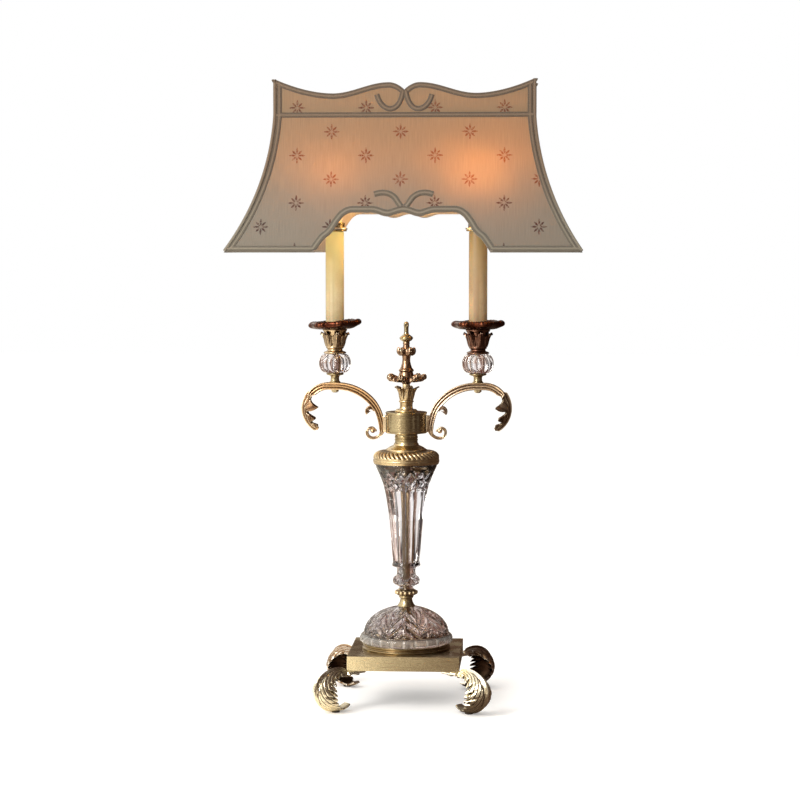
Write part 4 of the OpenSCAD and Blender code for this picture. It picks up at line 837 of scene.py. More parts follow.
def mesh_of(name: str, grids: Sequence[Grid], shut: bool, crease: float) -> bpy.types.Mesh:
    """Writes grids into one mesh, merges their seams and poles and sets smooth and sharp edges.

    Args:
        name: the mesh's name.
        grids: the surfaces, in millimetres.
        shut: whether they close, so that the faces can be turned outwards.
        crease: angle in degrees from which an edge is sharp.

    Returns:
        The mesh, in metres.
    """
    starts = np.cumsum([0] + [g.points.shape[0] * g.points.shape[1] for g in grids])
    spots = np.concatenate([g.points.reshape(-1, 3) for g in grids]) * MM
    faces = np.concatenate([g.quads() + s for g, s in zip(grids, starts)])
    mesh = bpy.data.meshes.new(name)
    mesh.vertices.add(len(spots))
    mesh.vertices.foreach_set("co", spots.astype(np.float32).ravel())
    mesh.loops.add(faces.size)
    mesh.loops.foreach_set("vertex_index", faces.astype(np.int32).ravel())
    mesh.polygons.add(len(faces))
    mesh.polygons.foreach_set("loop_start", np.arange(0, faces.size, 4, dtype=np.int32))
    mesh.update(calc_edges=True)
    deep = [np.zeros(g.points.shape[:2]) if g.hollow is None else g.hollow for g in grids]
    layer = mesh.attributes.new("hollow", "FLOAT", "POINT")
    layer.data.foreach_set("value", np.concatenate([d.ravel() for d in deep]).astype(np.float32))
    if all(g.uv is not None for g in grids):
        places = np.concatenate([g.uv.reshape(-1, 2) for g in grids])[faces.ravel()]
        mesh.uv_layers.new(name="UVMap").data.foreach_set("uv", places.astype(np.float32).ravel())
    mesh.validate()
    shaping = bmesh.new()
    shaping.from_mesh(mesh)
    bmesh.ops.remove_doubles(shaping, verts=shaping.verts, dist=SEAM_REACH)
    if shut:
        bmesh.ops.recalc_face_normals(shaping, faces=shaping.faces)
    shaping.to_mesh(mesh)
    shaping.free()
    mesh.shade_smooth()
    mesh.set_sharp_from_angle(angle=math.radians(crease))
    return mesh


def piece(
    name: str, grids: Sequence[Grid], finish: Finish, nodes: Sequence[str], shut: bool = True, crease: float = 35.0
) -> bpy.types.Object:
    """Makes a piece that stands for one or more nodes and rides with them.

    Args:
        name: the piece's name.
        grids: its surfaces, in millimetres.
        finish: its finish.
        nodes: the nodes that it stands for.
        shut: whether its surfaces close.
        crease: angle in degrees from which an edge is sharp.

    Returns:
        The object.
    """
    made = bpy.data.objects.new(name, mesh_of(name, grids, shut, crease))
    bpy.context.scene.collection.objects.link(made)
    made.data.materials.append(finish.material())
    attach(made, BODY_OF[nodes[0]])
    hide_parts(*nodes)
    log.info("%s: %d faces", name, len(made.data.polygons))
    return made


def dressed(*rows: tuple[str, Finish, float]) -> None:
    """Gives nodes of the frame a finish each, and a softened edge of a width in millimetres."""
    for node, finish, bevel in rows:
        made = frame["nodes"][node]
        made.data.materials.clear()
        made.data.materials.append(finish.material())
        if bevel > 0:
            made.modifiers.new("weld", "WELD").merge_threshold = WELD_REACH
            soft = made.modifiers.new("soft_edge", "BEVEL")
            soft.width, soft.segments = bevel * MM, 2
            soft.limit_method, soft.angle_limit = "ANGLE", math.radians(40)
            soft.use_clamp_overlap = True
        log.info("%s: finish %s", node, finish.slot)


def low(node: str) -> float:
    """Lowest height of a node in millimetres."""
    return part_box(node)[0].z / MM


def high(node: str) -> float:
    """Greatest height of a node in millimetres."""
    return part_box(node)[1].z / MM


def standing(rows: Sequence[tuple[str, Sequence[Grid], Finish, str, float]], x: float = 0.0, end: str = "") -> None:
    """Makes a table of pieces, each standing at the lowest height of its node.

    Args:
        rows: name, surfaces, finish, node and crease angle of every piece.
        x: shift of them all along X, in millimetres.
        end: what follows the name of every piece and node.
    """
    for name, grids, finish, node, crease in rows:
        stood = [g.moved(shift=(x, 0, low(node + end))) for g in grids]
        piece(name + end, stood, finish, [node + end], crease=crease)


# ------------------------------------------------------------------ base


@dataclass(frozen=True)
class Base:
    """The square pan on its four acanthus scroll feet, with the ballast inside it."""

    foot_d: float = 112.96
    pad_h: float = 2.0
    plate_z: float = 47.5
    half_w: float = 21.5
    leaf_t: float = 3.0
    root_a: float = 124.0
    toe_a: float = -128.0
    lobes: int = 10
    spread: float = 1.25
    rings: int = 200

    def foot(self) -> Grid:
        """Acanthus leaf rolled into a C about the diagonal: it swells and narrows again, is cut into
        lobes along both edges, and carries veins that fan out of its midrib."""
        radius = (self.plate_z + 4 - self.pad_h) / 2 + 0.4
        s = np.linspace(0, 1, self.rings)
        swell = np.where(s < 0.45, ease(s / 0.45), ease((1 - s) / 0.55))
        narrow = np.where(s < 0.45, 8.0, 6.0)
        leaf = stations(
            self.rings, cx=self.foot_d, cz=self.pad_h - 0.4 + radius, r=radius,
            a=self.root_a + (self.toe_a - self.root_a) * s,
            half_w=narrow + (self.half_w - narrow) * swell, thick=self.leaf_t,
            curl=13 * np.sin(np.pi * np.minimum(1, 0.12 + s)),
            cut=ease(s / 0.08) * (0.16 + 0.36 * ease((0.72 - s) / 0.3)),
            lean=-26 * np.sin(np.pi * s), vein=self.lobes * s,
        )
        leaf = replace(leaf, across=81, flank=4, sweep=6.0, fill=0.9, slit=3.2).grid(veins=1.25)
        wider = leaf.points + np.array([1, 0, 0]) * (self.spread - 1) * (leaf.points[..., :1] - self.foot_d)
        return replace(leaf, points=wider)

    def tab(self) -> Grid:
        """Lug under the pan that the foot is screwed on by: a rounded bar along the diagonal."""
        return bar((72.5, 72.5, 97.4, 97.4), (0, 1, 1, 0), (0, self.plate_z - 2.05), (8, 1.95), (0.3, 0.3), 40)

    def build(self) -> None:
        """Makes the feet and dresses what the frame keeps of the base."""
        leaf, tab = self.foot(), self.tab()
        for name, turn in (("front_left", 225), ("front_right", 315), ("back_left", 135), ("back_right", 45)):
            # Painted light and shade: the front feet take the lit copy of the brass, the back feet the shaded one.
            finish = FOOT_BRASS_SHADED if "back" in name else FOOT_BRASS_LIT
            piece(f"acanthus_foot_{name}", [leaf.moved(turn), tab.moved(turn)], finish, [f"foot_{name}"])
        dressed(
            ("base_pan", PLATE_BRASS, 0.8), ("base_weight", BALLAST, 0.8), ("cord_bushing", PHENOLIC, 0.5),
            ("foot_screws", STEEL, 0), ("foot_pads", FELT, 0.5), ("rod_washer", STEEL, 0.3), ("rod_nut", STEEL, 0.4))


# ------------------------------------------------------------------ stem


@dataclass(frozen=True)
class Stem:
    """Everything that the center rod clamps between the pan and the drum."""

    bore: float = 5.15
    column_bore: float = 5.65
    dome_rows: int = 90
    panels: int = 8
    beads_n: int = 14
    column_rows: int = 150
    flutes: int = 14

    def seat_ring(self) -> Grid:
        """Moulded ring under the dome: a fillet, a cove and a bead."""
        profile = rounded([
            (self.bore, 0), (53.4, 0, 0.5), (54, 0.7, 0.4), (54, 2, 0.5), (53.2, 2.3, 0.3), (52.3, 3.2, 1.2),
            (52.2, 4.3, 0.8), (53.4, 5, 0.8), (53.2, 6.7, 0.6), (43, 6.7, 0.3), (43, 2, 0.3), (self.bore, 2),
        ])
        return turned(profile, 180, loop=True, hollow=(profile[:, 0] < 43.5).astype(float))

    def dome(self) -> Grid:
        """Cut dome. Its body is r = 52.4 sqrt(1 - 0.955 u^2) up to the neck. Upright mitres split it into
        panels, and mitres slant up to both sides of each; the rim is notched."""
        foot = even(rounded([
            (45, 0), (55, 0, 1.0), (57, 2.4, 1.6), (57, 7.0, 2.0), (55.0, 9.6, 0.8), (52.6, 10.4, 0.6)]), 0.6)
        u = np.linspace(0.03, 1, self.dome_rows)
        outside = np.stack([52.4 * np.sqrt(1 - 0.955 * u**2), 10 + 33.6 * u], -1)
        v = np.linspace(1, 0, 50)
        inside = np.stack([np.maximum(self.bore, 51 * np.sqrt(1 - 0.955 * v**2) - 6), 10 + 27.6 * v], -1)
        profile = np.vstack([foot, outside, [[self.bore, 43.6]], [[self.bore, 37.6]], inside])

        def cuts(p: Array, r: Array, z: Array) -> tuple[Array, Array, Array]:
            """Notches on the rim, mitres on the body, and where each is whitened: the bottoms of the mitres as frost
            and painted glints, the notch lines of the rim as painted highlights.
            """
            row = np.arange(len(z))[:, None]
            rim = (row < len(foot)) * np.clip((r - 53) / 3, 0, 1)
            lines = 1 - saw(24 * p / TAU)
            notch = rim * 0.8 * lines**4
            body = (row >= len(foot)) & (row < len(foot) + self.dome_rows)
            share = np.clip((z - 10) / 33.6, 0, 1)
            sector = self.panels * p / TAU + 0.5
            off = np.abs(sector - np.floor(sector) - 0.5)
            upright = np.clip(1 - off / 0.045, 0, 1)
            slant = np.clip(1.1 - 2.1 * saw(3.1 * share**0.9 + 3.2 * off), 0, 1)
            edge = np.clip(1 - (0.5 - off) / 0.035, 0, 1)
            fade = ease((share - 0.04) / 0.12) * ease((1.0 - share) / 0.12)
            cut = body * fade * (2.2 * upright + 2.3 * slant * (off > 0.045) + edge)
            # Mitre bottoms are whitened as frost and painted glints, the rim's notch lines as painted highlights.
            ground = body * fade * np.clip(upright + np.clip(slant - 0.55, 0, 1) * 2.2 * (off > 0.045), 0, 1)
            return r - notch - cut, z, np.maximum(0.2 * ground, rim * lines**2)

        return turned(profile, 320, cuts, loop=True)

    def lower_neck(self) -> Grid:
        """Trumpet: radius 7.3 + 2.9 (1 - u)^2 between a foot ring and a lip."""
        u = np.linspace(0, 1, 14)
        waist = np.stack([7.3 + 2.9 * (1 - u) ** 2, 1.8 + 8 * u], -1)
        profile = np.vstack([
            rounded([(self.bore, 0), (10.6, 0, 0.3), (11, 0.5, 0.4), (11, 1.2, 0.4), (10.2, 1.7)]), waist,
            rounded([(7.4, 10.4), (8.7, 10.9, 0.5), (8.9, 11.8, 0.5), (8.7, 13, 0.3), (self.bore, 13)]),
        ])
        return turned(profile, 96, loop=True)

    def beads(self) -> Grid:
        """Collar with a ring of beads: half spheres r + b sqrt(1 - x^2 - y^2) on its middle, with dirt
        between them."""
        half, middle = 2.45, 4.5
        profile = even(rounded([
            (self.bore, 0), (9, 0, 0.4), (10.4, 1.1, 0.6), (12, 1.9, 0.6), (12, 7.1, 0.6), (10.4, 7.9, 0.6),
            (9, 9, 0.4), (self.bore, 9),
        ]), 0.28)

        def raised(p: Array, r: Array, z: Array) -> tuple[Array, Array]:
            """Adds the beads."""
            x = (np.mod(self.beads_n * p / TAU, 1) - 0.5) * (TAU * 12.6 / self.beads_n) / half
            y = (z - middle) / half
            return r + np.where(r > 10, 2.5 * np.sqrt(np.clip(1 - x**2 - y**2, 0, 1)), 0), z

        grid = turned(profile, self.beads_n * 20, raised, loop=True)
        far = np.linalg.norm(grid.points[..., :2], axis=2)
        between = (np.abs(grid.points[..., 2] - middle) < 3.2) & (far > 11)
        return replace(grid, hollow=0.85 * between * np.clip((13.2 - far) / 1.6, 0, 1))

    def column(self) -> Grid:
        """Cut baluster: a knop with crossed mitres, a neck, then long flutes under a band of crossed
        mitres. A flute is a hollow of depth d w^0.9, w being a triangle wave, pointed at its top."""
        lower = even(rounded([
            (self.column_bore, 0), (8.5, 0, 0.4), (8.5, 2.5, 0.5), (11.5, 4.2, 1), (15.6, 6.2, 1.6), (17, 10, 3),
            (15.6, 13.8, 1.6), (12.2, 16.2, 1.2), (11.3, 19, 1), (11.3, 25.6, 1), (14, 27.4, 0.6), (17.1, 28, 0.5),
            (17.3, 29.4, 0.4), (16.9, 31, 0.4), (16.2, 33),
        ]), 0.7)
        share = np.linspace(0.03, 1, self.column_rows)
        at = [0, 0.03, 0.14, 0.27, 0.48, 0.69, 0.8, 0.87, 0.93, 0.98, 1]
        radius = [15.4, 16.3, 17.8, 18.9, 21.2, 25.3, 28.4, 31.6, 35.2, 37.9, 38.2]
        body = np.stack([smoothed(np.interp(share, at, radius), 6), 30 + 124.5 * share], -1)
        top = rounded([(38.4, 153.2), (39.5, 153.6, 0.4), (39.5, 156, 0.4), (self.column_bore, 156)])
        n = len(lower)

        def crossed(p: Array, count: int, run: Array, width: float) -> Array:
            """Crossed mitres where two triangle waves that slant both ways along a run meet."""
            turn = count * p / TAU
            return np.clip(1 - width * np.minimum(saw(turn + run), saw(turn - run)), 0, 1)

        def cuts(p: Array, r: Array, z: Array) -> tuple[Array, Array, Array]:
            """Crosses on the knop, flutes on the body and crosses over them, their bottoms whitened as frost and
            painted glints.
            """
            row = np.arange(len(z))[:, None]
            on_body = (row >= n) * (row < n + self.column_rows)
            knop = (row < n) * (z < 17) * np.clip((r - 12.5) / 2, 0, 1) * crossed(p, 8, (z - 10) / 12, 3.2)
            across = saw(self.flutes * p / TAU + 0.5)
            flute = on_body * across**0.9 * ease((131 + 9 * (1 - across) - z) / 8)
            band = on_body * ease((z - 121) / 5) * ease((149 - z) / 5)
            diamond = band * crossed(p, self.flutes, (z - 128) / 18, 2.4)
            neck = (row < n) * hump(z, 21.5, 3.6) * saw(6 * p / TAU) ** 2
            # Cut bottoms are whitened as frost and painted glints.
            ground = np.clip(knop - 0.5, 0, 1) + 1.6 * np.clip(diamond - 0.55, 0, 1)
            return r - 1.5 * knop - 1.7 * flute - 1.7 * diamond - 0.9 * neck, z, ground

        return turned(np.vstack([lower, body, top]), 28 * self.flutes, cuts, loop=True)

    def vase_cap(self) -> Grid:
        """Cap with slanting flames on its shoulder: r + d |sin(n p / 2 + k z)|^0.7 between two fillets."""
        u = np.linspace(0, 1, 60)
        shoulder = np.stack([25.0 + 15.2 * (1 - u**2.5) ** 0.4, 5.6 + 9.8 * u], -1)
        profile = np.vstack([
            rounded([
                (self.bore, 1.5), (39.6, 1.5, 0.1), (39.6, 0, 0.1), (39.9, 0, 0.1), (40.1, 1, 0.3), (40.5, 1.8, 0.4),
                (40.5, 4.2, 0.5), (40.0, 4.8, 0.2), (40.2, 5.4)]),
            shoulder,
            rounded([
                (24.9, 15.6), (24.9, 17.2, 0.4), (23.4, 17.9, 0.6), (20.5, 20, 2), (17.2, 21.4, 1),
                (15.4, 22.3, 0.5), (15.1, 24, 0.3), (self.bore, 24)]),
        ])

        def flames(p: Array, r: Array, z: Array) -> tuple[Array, Array, Array]:
            """Raises the flames on the upper shoulder and darkens the grooves between them."""
            band = ease((z - 7.0) / 1.0) * ease((15.3 - z) / 0.8) * (r > 25)
            wave = np.abs(np.sin(20 * p + 0.42 * (z - 10)))
            return r + band * (1.9 * wave**0.7 - 1.6), z + band * 0.5 * wave, band * np.clip(1 - 1.7 * wave, 0, 1)

        return turned(profile, 480, flames, loop=True)

    def upper_neck(self) -> Grid:
        """Neck with two rings round its middle."""
        profile = rounded([
            (self.bore, 0), (14.6, 0, 0.2), (14.2, 0.8, 0.5), (13.9, 1.6, 0.4), (13.8, 3.9, 0.2), (14.3, 4.3, 0.3),
            (14.3, 5.5, 0.3), (13.5, 6.1, 0.3), (13.5, 6.7, 0.3), (14.3, 7.2, 0.3), (14.3, 8.3, 0.3),
            (13.8, 8.8, 0.2), (13.6, 11, 0.3), (14.6, 11.8, 0.4), (14.8, 13, 0.2), (self.bore, 13),
        ])
        return turned(profile, 120, loop=True)

    def build(self) -> None:
        """Makes the stem, ring by ring."""
        standing((
            ("moulded_seat_ring", [self.seat_ring()], SEAT_BRASS, "dome_seat_ring", 35),
            ("cut_dome", [self.dome()], ROSE_CRYSTAL, "glass_dome", 24),
            ("trumpet_neck", [self.lower_neck()], TURNED_BRASS, "lower_neck", 35),
            ("bead_ring", [self.beads()], CAST_BRASS, "beaded_collar", 50),
            ("cut_column", [self.column()], CRYSTAL, "glass_column", 24),
            ("flame_cap", [self.vase_cap()], CAST_BRASS, "vase_cap", 50),
            ("ringed_neck", [self.upper_neck()], TURNED_BRASS, "upper_neck", 35),
        ))
        dressed(("center_rod", ROD_BRASS, 0.2), ("dome_gasket", GASKET, 0))


# ------------------------------------------------------------------ drum and finial


@dataclass(frozen=True)
class Drum:
    """The drum that carries the arms, its lid and the rotary switch at its back."""

    bore: float = 5.15

    def shell(self) -> Grid:
        """Drum wall with a rim at each end, fine turned lines between them, and a hollow inside."""
        wall = np.stack([24.35 + 0.035 * np.sin(np.linspace(0, 13 * TAU, 90)), np.linspace(2.0, 22.0, 90)], -1)
        profile = np.vstack([
            rounded([(self.bore, 0), (24.6, 0, 0.4), (25, 0.5, 0.3), (25, 1.2, 0.3), (24.3, 1.7)]), wall,
            rounded([
                (24.3, 22.3), (25, 22.8, 0.3), (25, 23.6, 0.3), (24.7, 24, 0.2), (22.8, 24, 0.2), (22.8, 2.2, 0.4),
                (self.bore, 2.2)]),
        ])
        return turned(profile, 144, loop=True)

    def lid(self) -> Grid:
        """Flat lid with a rolled edge."""
        return turned(rounded([
            (self.bore, 0), (25.2, 0, 0.3), (25.6, 0.5, 0.4), (25.4, 1.4, 0.5), (24.4, 2, 0.4), (22.6, 1.75, 0.3),
            (21.4, 2, 0.3), (self.bore, 2),
        ]), 144, loop=True)

    def knob(self) -> list[Grid]:
        """Knurled knob and its shaft: r - d (1 - saw(n p)) on the grip, laid along Y."""
        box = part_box("switch_knob")
        front, back = box[0].y / MM, box[1].y / MM
        centre_z = (box[0].z + box[1].z) / 2 / MM
        grip = back - 11.0
        profile = rounded([
            (0, front), (2.3, front, 0.2), (2.5, front + 0.4, 0.2), (2.5, grip, 0.1), (5.6, grip, 0.4),
            (6.5, grip + 0.9, 0.6), (6.5, back - 2, 0.6), (4.6, back, 0.8), (0, back),
        ])

        def knurl(p: Array, r: Array, z: Array) -> tuple[Array, Array]:
            """Grooves of the grip."""
            held = (z > grip + 1) & (z < back - 1.4)
            return r - 0.5 * held * (1 - saw(24 * p / TAU)), z

        flat = turned(even(profile, 0.4), 144, knurl).points
        return [Grid(np.stack([flat[..., 0], flat[..., 2], centre_z - flat[..., 1]], -1))]

    def build(self) -> None:
        """Makes the drum."""
        standing((
            ("drum_shell", [self.shell()], TURNED_BRASS, "arm_drum", 35),
            ("drum_cover", [self.lid()], TURNED_BRASS, "drum_lid", 35),
        ))
        piece("knurled_knob", self.knob(), TURNED_BRASS, ["switch_knob"])
        dressed(("switch_body", PHENOLIC, 0.3), ("switch_nut", TURNED_BRASS, 0.3), ("arm_screws", STEEL, 0))


def petals(rows: Rows, count: int, each: int, vein: float, phase: float = 0.0, gap: float = 0.0) -> Grid:
    """Ring of petals: a closed profile whose points move out and up with the wave of the petals.

    With w = cos(n p)^0.8, its sign kept, a row (r, z, dr, dz) gives radius r + dr w and height z + dz w. A vein
    runs out along the middle of each petal, with two fainter ones on both sides of it.

    Args:
        rows: closed profile as (r, z, lobe depth, lobe lift).
        count: number of petals.
        each: points round the axis for each petal.
        vein: depth of the veins.
        phase: turn of the ring, as a share of a petal.
        gap: depth of the groove between two petals.

    Returns:
        The grid.
    """
    table = even(np.vstack([np.array(rows, float), np.array(rows[:1], float)]), 0.45)[:-1]
    q = (np.arange(count * each) / (count * each))[None, :]
    wave = np.cos(TAU * (count * q + phase))
    wave = np.sign(wave) * np.abs(wave) ** 0.8
    r, z, out, up = (table[:, k : k + 1] for k in range(4))
    off = np.abs(np.mod(count * q + phase + 0.5, 1) - 0.5)
    lobed = np.clip(out, 0, 1)
    lines = lobed * (hump(off, 0, 0.04) + 0.75 * hump(off, 0.15, 0.04) + 0.7 * hump(off, 0.29, 0.04))
    between = lobed * hump(off, 0.5, 0.07)
    r = r + out * wave - 0.6 * vein * lines - gap * between
    deep = np.clip(lines + (1.0 if gap else 0.3) * between, 0, 1)
    points = np.stack([r * np.cos(TAU * q), r * np.sin(TAU * q), z + up * wave - vein * lines], -1)
    return Grid(points, loop_rows=True, hollow=deep)


@dataclass(frozen=True)
class Finial:
    """Leaf cup, petal dish, baluster with a rosette, and the pierced knob."""

    def leaf_cup(self) -> list[Grid]:
        """Turned cup with five leaves that curl out at their tips."""
        core = rounded([
            (4.95, 0), (13.6, 0, 0.3), (14, 0.6, 0.3), (14, 1.4, 0.4), (12.6, 2.2, 0.4), (12.3, 3, 0.3),
            (8.4, 3.2, 0.4), (7.7, 6, 1), (8, 11.4, 0.5), (9.2, 12.2, 0.4), (9, 13.4, 0.4), (7.8, 14.2, 0.5),
            (7.2, 17, 1), (4.6, 26, 1), (4.5, 34, 0.2), (1.85, 34),
        ])
        leaves = petals([
            (5.6, 13, 0, 0), (8.2, 13.4, 0, 0), (9.2, 18, 0.5, 0), (9.8, 24, 1.4, 0), (11.4, 28.2, 2.4, 0.7),
            (13, 29.6, 3.2, 1.4), (13.2, 29, 3.2, 1), (12.4, 29.9, 3, 1.6), (10.6, 29.2, 2.2, 1), (8.4, 24, 1.4, 0),
            (6.4, 18, 0.4, 0),
        ], 5, 36, 0.7, gap=1.8)
        return [turned(core, 120), leaves]

    def dish(self) -> list[Grid]:
        """Wavy dish of seven rolled petals round a hub."""
        hub = rounded([
            (1.85, 0), (5, 0, 0.3), (6.4, 2.8, 0.8), (10, 6.4, 1.2), (10, 8.4, 0.8), (8, 14.6, 0.6), (7.6, 15, 0.2),
            (1.85, 15),
        ])
        rim = petals([
            (6, 2.5, 0, 0), (11, 2.6, 0.6, 0.2), (16, 3.6, 1.6, 1.4), (19.4, 5, 2, 2.2), (21.4, 4.6, 2.3, 1.8),
            (22.8, 5.2, 2.4, 2), (23, 7.6, 2.2, 2.6), (21.6, 9.8, 2, 2.6), (19, 10.2, 1.6, 2.2), (14, 9, 0.9, 0.9),
            (11, 8.4, 0.4, 0.1), (6, 8, 0, 0),
        ], 7, 30, 1.1, gap=1.3)
        return [turned(hub, 96), rim]

    def baluster(self) -> list[Grid]:
        """Waisted stem with a rosette of six petals."""
        core = rounded([
            (1.85, 0), (8.6, 0, 0.3), (9.4, 1.3, 0.5), (8.8, 2.8, 0.5), (7.4, 3.8, 0.6), (6.2, 7, 2), (5.1, 11, 2),
            (4.7, 15, 2), (5.4, 19.4, 0.6), (4.7, 21.4, 0.5), (4.2, 30, 2), (3.8, 33, 1), (4.3, 34.4, 0.4),
            (4, 36, 0.3), (1.85, 36),
        ])
        rosette = petals([
            (4, 19.6, 0, 0), (7.4, 19.8, 0.9, 0), (9.8, 21.6, 1.5, 0.6), (10.4, 24.6, 1.7, 0.4),
            (9.9, 27.6, 1.5, 0.9), (8.6, 29.2, 1.2, 0.8), (6.4, 28.6, 0.6, 0.2), (3.8, 28.8, 0, 0),
        ], 6, 30, 0.7)
        return [turned(core, 96), rosette]

    def knob(self) -> list[Grid]:
        """Lens-shaped knob that draws out to a spike, on a stud. A small hole is sunk into the front and
        the back of the spike by 2.5 exp(-(x / 1.1)^2 - (dz / 1.2)^2)."""
        core = rounded([
            (0, 0), (4, 0, 0.3), (4.4, 0.9, 0.3), (6.6, 2.1, 0.8), (8.4, 4.4, 1.2), (8.2, 5.8, 1), (5.6, 8, 1.4),
            (3.2, 9.6, 0.8), (2.7, 12, 1), (2.8, 18, 0.8), (3.3, 20.5, 1), (2.8, 23.6, 0.8), (1.4, 24.8, 0.6),
            (0, 25),
        ])
        long = high("finial_knob") - 25 - low("finial_knob")
        stud = rounded([(0, 0), (1.5, 0, 0.2), (1.8, 0.5, 0.2), (1.8, long + 0.5, 0.1), (0, long + 0.5)])

        def pierced(p: Array, r: Array, z: Array) -> tuple[Array, Array, Array]:
            """Sinks the hole into both faces."""
            hole = hump(r * np.cos(p), 0, 1.1) * hump(z, 20.5, 1.2)
            return r - 2.5 * hole, z, np.clip(1.6 * hole, 0, 1)

        return [turned(even(core, 0.3), 96, pierced).moved(shift=(0, 0, long)), turned(stud, 24)]

    def build(self) -> None:
        """Makes the finial from the lid up."""
        standing((
            ("finial_leaves", self.leaf_cup(), CAST_BRASS, "finial_leaf_cup", 35),
            ("finial_petals", self.dish(), DARK_BRONZE, "finial_dish", 35),
            ("finial_stem", self.baluster(), DARK_BRONZE, "finial_baluster", 35),
            ("finial_spike", self.knob(), TURNED_BRASS, "finial_knob", 35),
        ))


# ------------------------------------------------------------------ arms


@dataclass(frozen=True)
class Arm:
    """Scroll arm: acanthus leaf at its end, crest over the candle, long arc, volute and small curl."""

    eye_x: float = 41.0
    eye_z: float = 332.2
    drum_r: float = 25.0
    drum_z: float = 329.5
    arc_r: float = 62.0
    width: float = 9.0
    depth: float = 11.0
    end_r: float = 31.0
    leaf_half_w: float = 12.0
    root_t: float = 5.0
    inner_t: float = 7.6
    volute_t: float = 3.4
    front: float = 1.5
    back: float = 2.6
    leaf_rings: int = 150
    volute_a: float = 171.0

    def band(self) -> Strap:
        """Leaf, crest and long arc, one tangent to the next."""
        cx, cz, half = 85.0, self.drum_z - 0.4, self.depth / 2
        ex, ez = cx + 10.3, cz + self.arc_r - self.end_r
        s = np.linspace(0, 1, self.leaf_rings)
        first, full = 2.5, self.leaf_half_w
        wide = np.where(s < 0.4, first + (full - first) * ease(s / 0.4), half + (full - half) * ease((1 - s) / 0.5))
        fold = 19 * hump(s, 0.75, 0.13) + 9 * hump(s, 0.45, 0.18) + 5 * hump(s, 0.15, 0.16)
        leaf = stations(
            self.leaf_rings, cx=ex, cz=ez, r=self.end_r, a=-64 + 112 * s, half_w=wide,
            thick=2.2 + (self.width - 2.2) * ease((s - 0.84) / 0.16), curl=fold * (1 - ease((s - 0.86) / 0.12)),
            cut=0.55 * (1 - ease((s - 0.84) / 0.1)) * ease(s / 0.1), lean=-20 * np.sin(np.pi * s),
            front=self.front * ease((s - 0.86) / 0.14), back=self.back * ease((s - 0.86) / 0.14), vein=3.6 * s + 0.1,
        )
        crest = stations(
            28, cx=ex, cz=ez, r=self.end_r, a=np.linspace(49, 89, 28), half_w=half, thick=self.width,
            front=self.front, back=self.back)
        a = np.linspace(90, self.volute_a, 66)
        thick = self.width + (self.root_t - self.width) * ease((a - 135) / 35)
        arc = stations(
            len(a), cx=cx, cz=cz, r=self.arc_r - self.width / 2 + thick / 2, a=a, half_w=half,
            thick=np.maximum(thick, self.inner_t), front=self.front, back=self.back)
        return Strap.joined([leaf, crest, arc, self.volute(cx, cz)])

    def volute(self, cx: float, cz: float) -> Strap:
        """Four arcs of falling radius, each leaving the last at its end."""
        parts, last_r, last_a = [], self.arc_r - self.width / 2, self.volute_a
        for r, first, end in ((13, 178, 270), (7, 275, 360), (5.4, 372, 450), (3.8, 465, 545)):
            turn = math.radians(last_a)
            cx, cz = cx + (last_r - r) * math.cos(turn), cz + (last_r - r) * math.sin(turn)
            a = np.linspace(first, end, 34)
            slim = self.root_t + (self.volute_t - self.root_t) * ease((a - 178) / 60)
            swell = (self.inner_t - self.root_t) * (1 - ease((a - 180) / 55))
            thick = np.where(a < 270, slim, self.volute_t * (1 + 0.55 * ease((a - 505) / 25)))
            start = ease((230 - a) / 50)
            broad = (8 + (self.depth - 8) * start) * (1 - 0.25 * ease((a - 360) / 150))
            parts.append(stations(
                len(a), cx=cx, cz=cz, r=r + thick / 2, a=a, half_w=broad / 2, thick=thick + swell,
                front=self.front * start, back=self.back * start))
            last_r, last_a = r, end
        return Strap.joined(parts)

    def curl(self) -> Grid:
        """Small rolled leaf over the volute."""
        a = np.linspace(-40, 176, 70)
        rolled = stations(
            len(a), cx=self.drum_r + 18.6, cz=self.drum_z + 26.4, r=6.8 + 0.6 * ease((a - 120) / 60), a=a,
            half_w=4.4 + 1.2 * hump(a, 60, 60), thick=4.6 + 3.4 * ease((10 - a) / 40))
        return replace(rolled, power=3.0).grid()

    def eye(self) -> Grid:
        """Ball at the heart of the volute, flattened across the arm."""
        v = np.linspace(0, math.pi, 18)
        ball = turned(np.stack([3.1 * np.sin(v), -3.6 * np.cos(v)], -1), 28).points
        return Grid(np.stack([ball[..., 0] + self.eye_x, ball[..., 2], ball[..., 1] + self.eye_z], -1))

    def plate(self) -> Grid:
        """Root plate that lies on the drum: a rounded block."""
        return bar(
            (24.4, 24.4, 27.6, 28.2, 28.2), (0, 1, 1, 0.94, 0), (-0.95, self.drum_z + 11.5), (4, 10.3), (0.25, 0.2), 48)

    def build(self) -> None:
        """Makes both arms, the left one as the mirror of the right one."""
        band = replace(self.band(), across=47, flank=15, shade=0.8).grid(veins=1.6, ribs=3)
        parts = [band, self.curl(), self.eye(), self.plate()]
        # Painted highlight: the right arm takes the paler copy of the bronze.
        for side, finish in ((Side.LEFT, ARM_BRONZE), (Side.RIGHT, ARM_BRONZE_LIT)):
            grids = [g.moved(flip=side is Side.LEFT) for g in parts]
            piece(f"scroll_arm_{side.word}", grids, finish, [f"arm_{side.word}"])
        dressed(("arm_leads", LEAD_COVER, 0))


# ------------------------------------------------------------------ candle stations


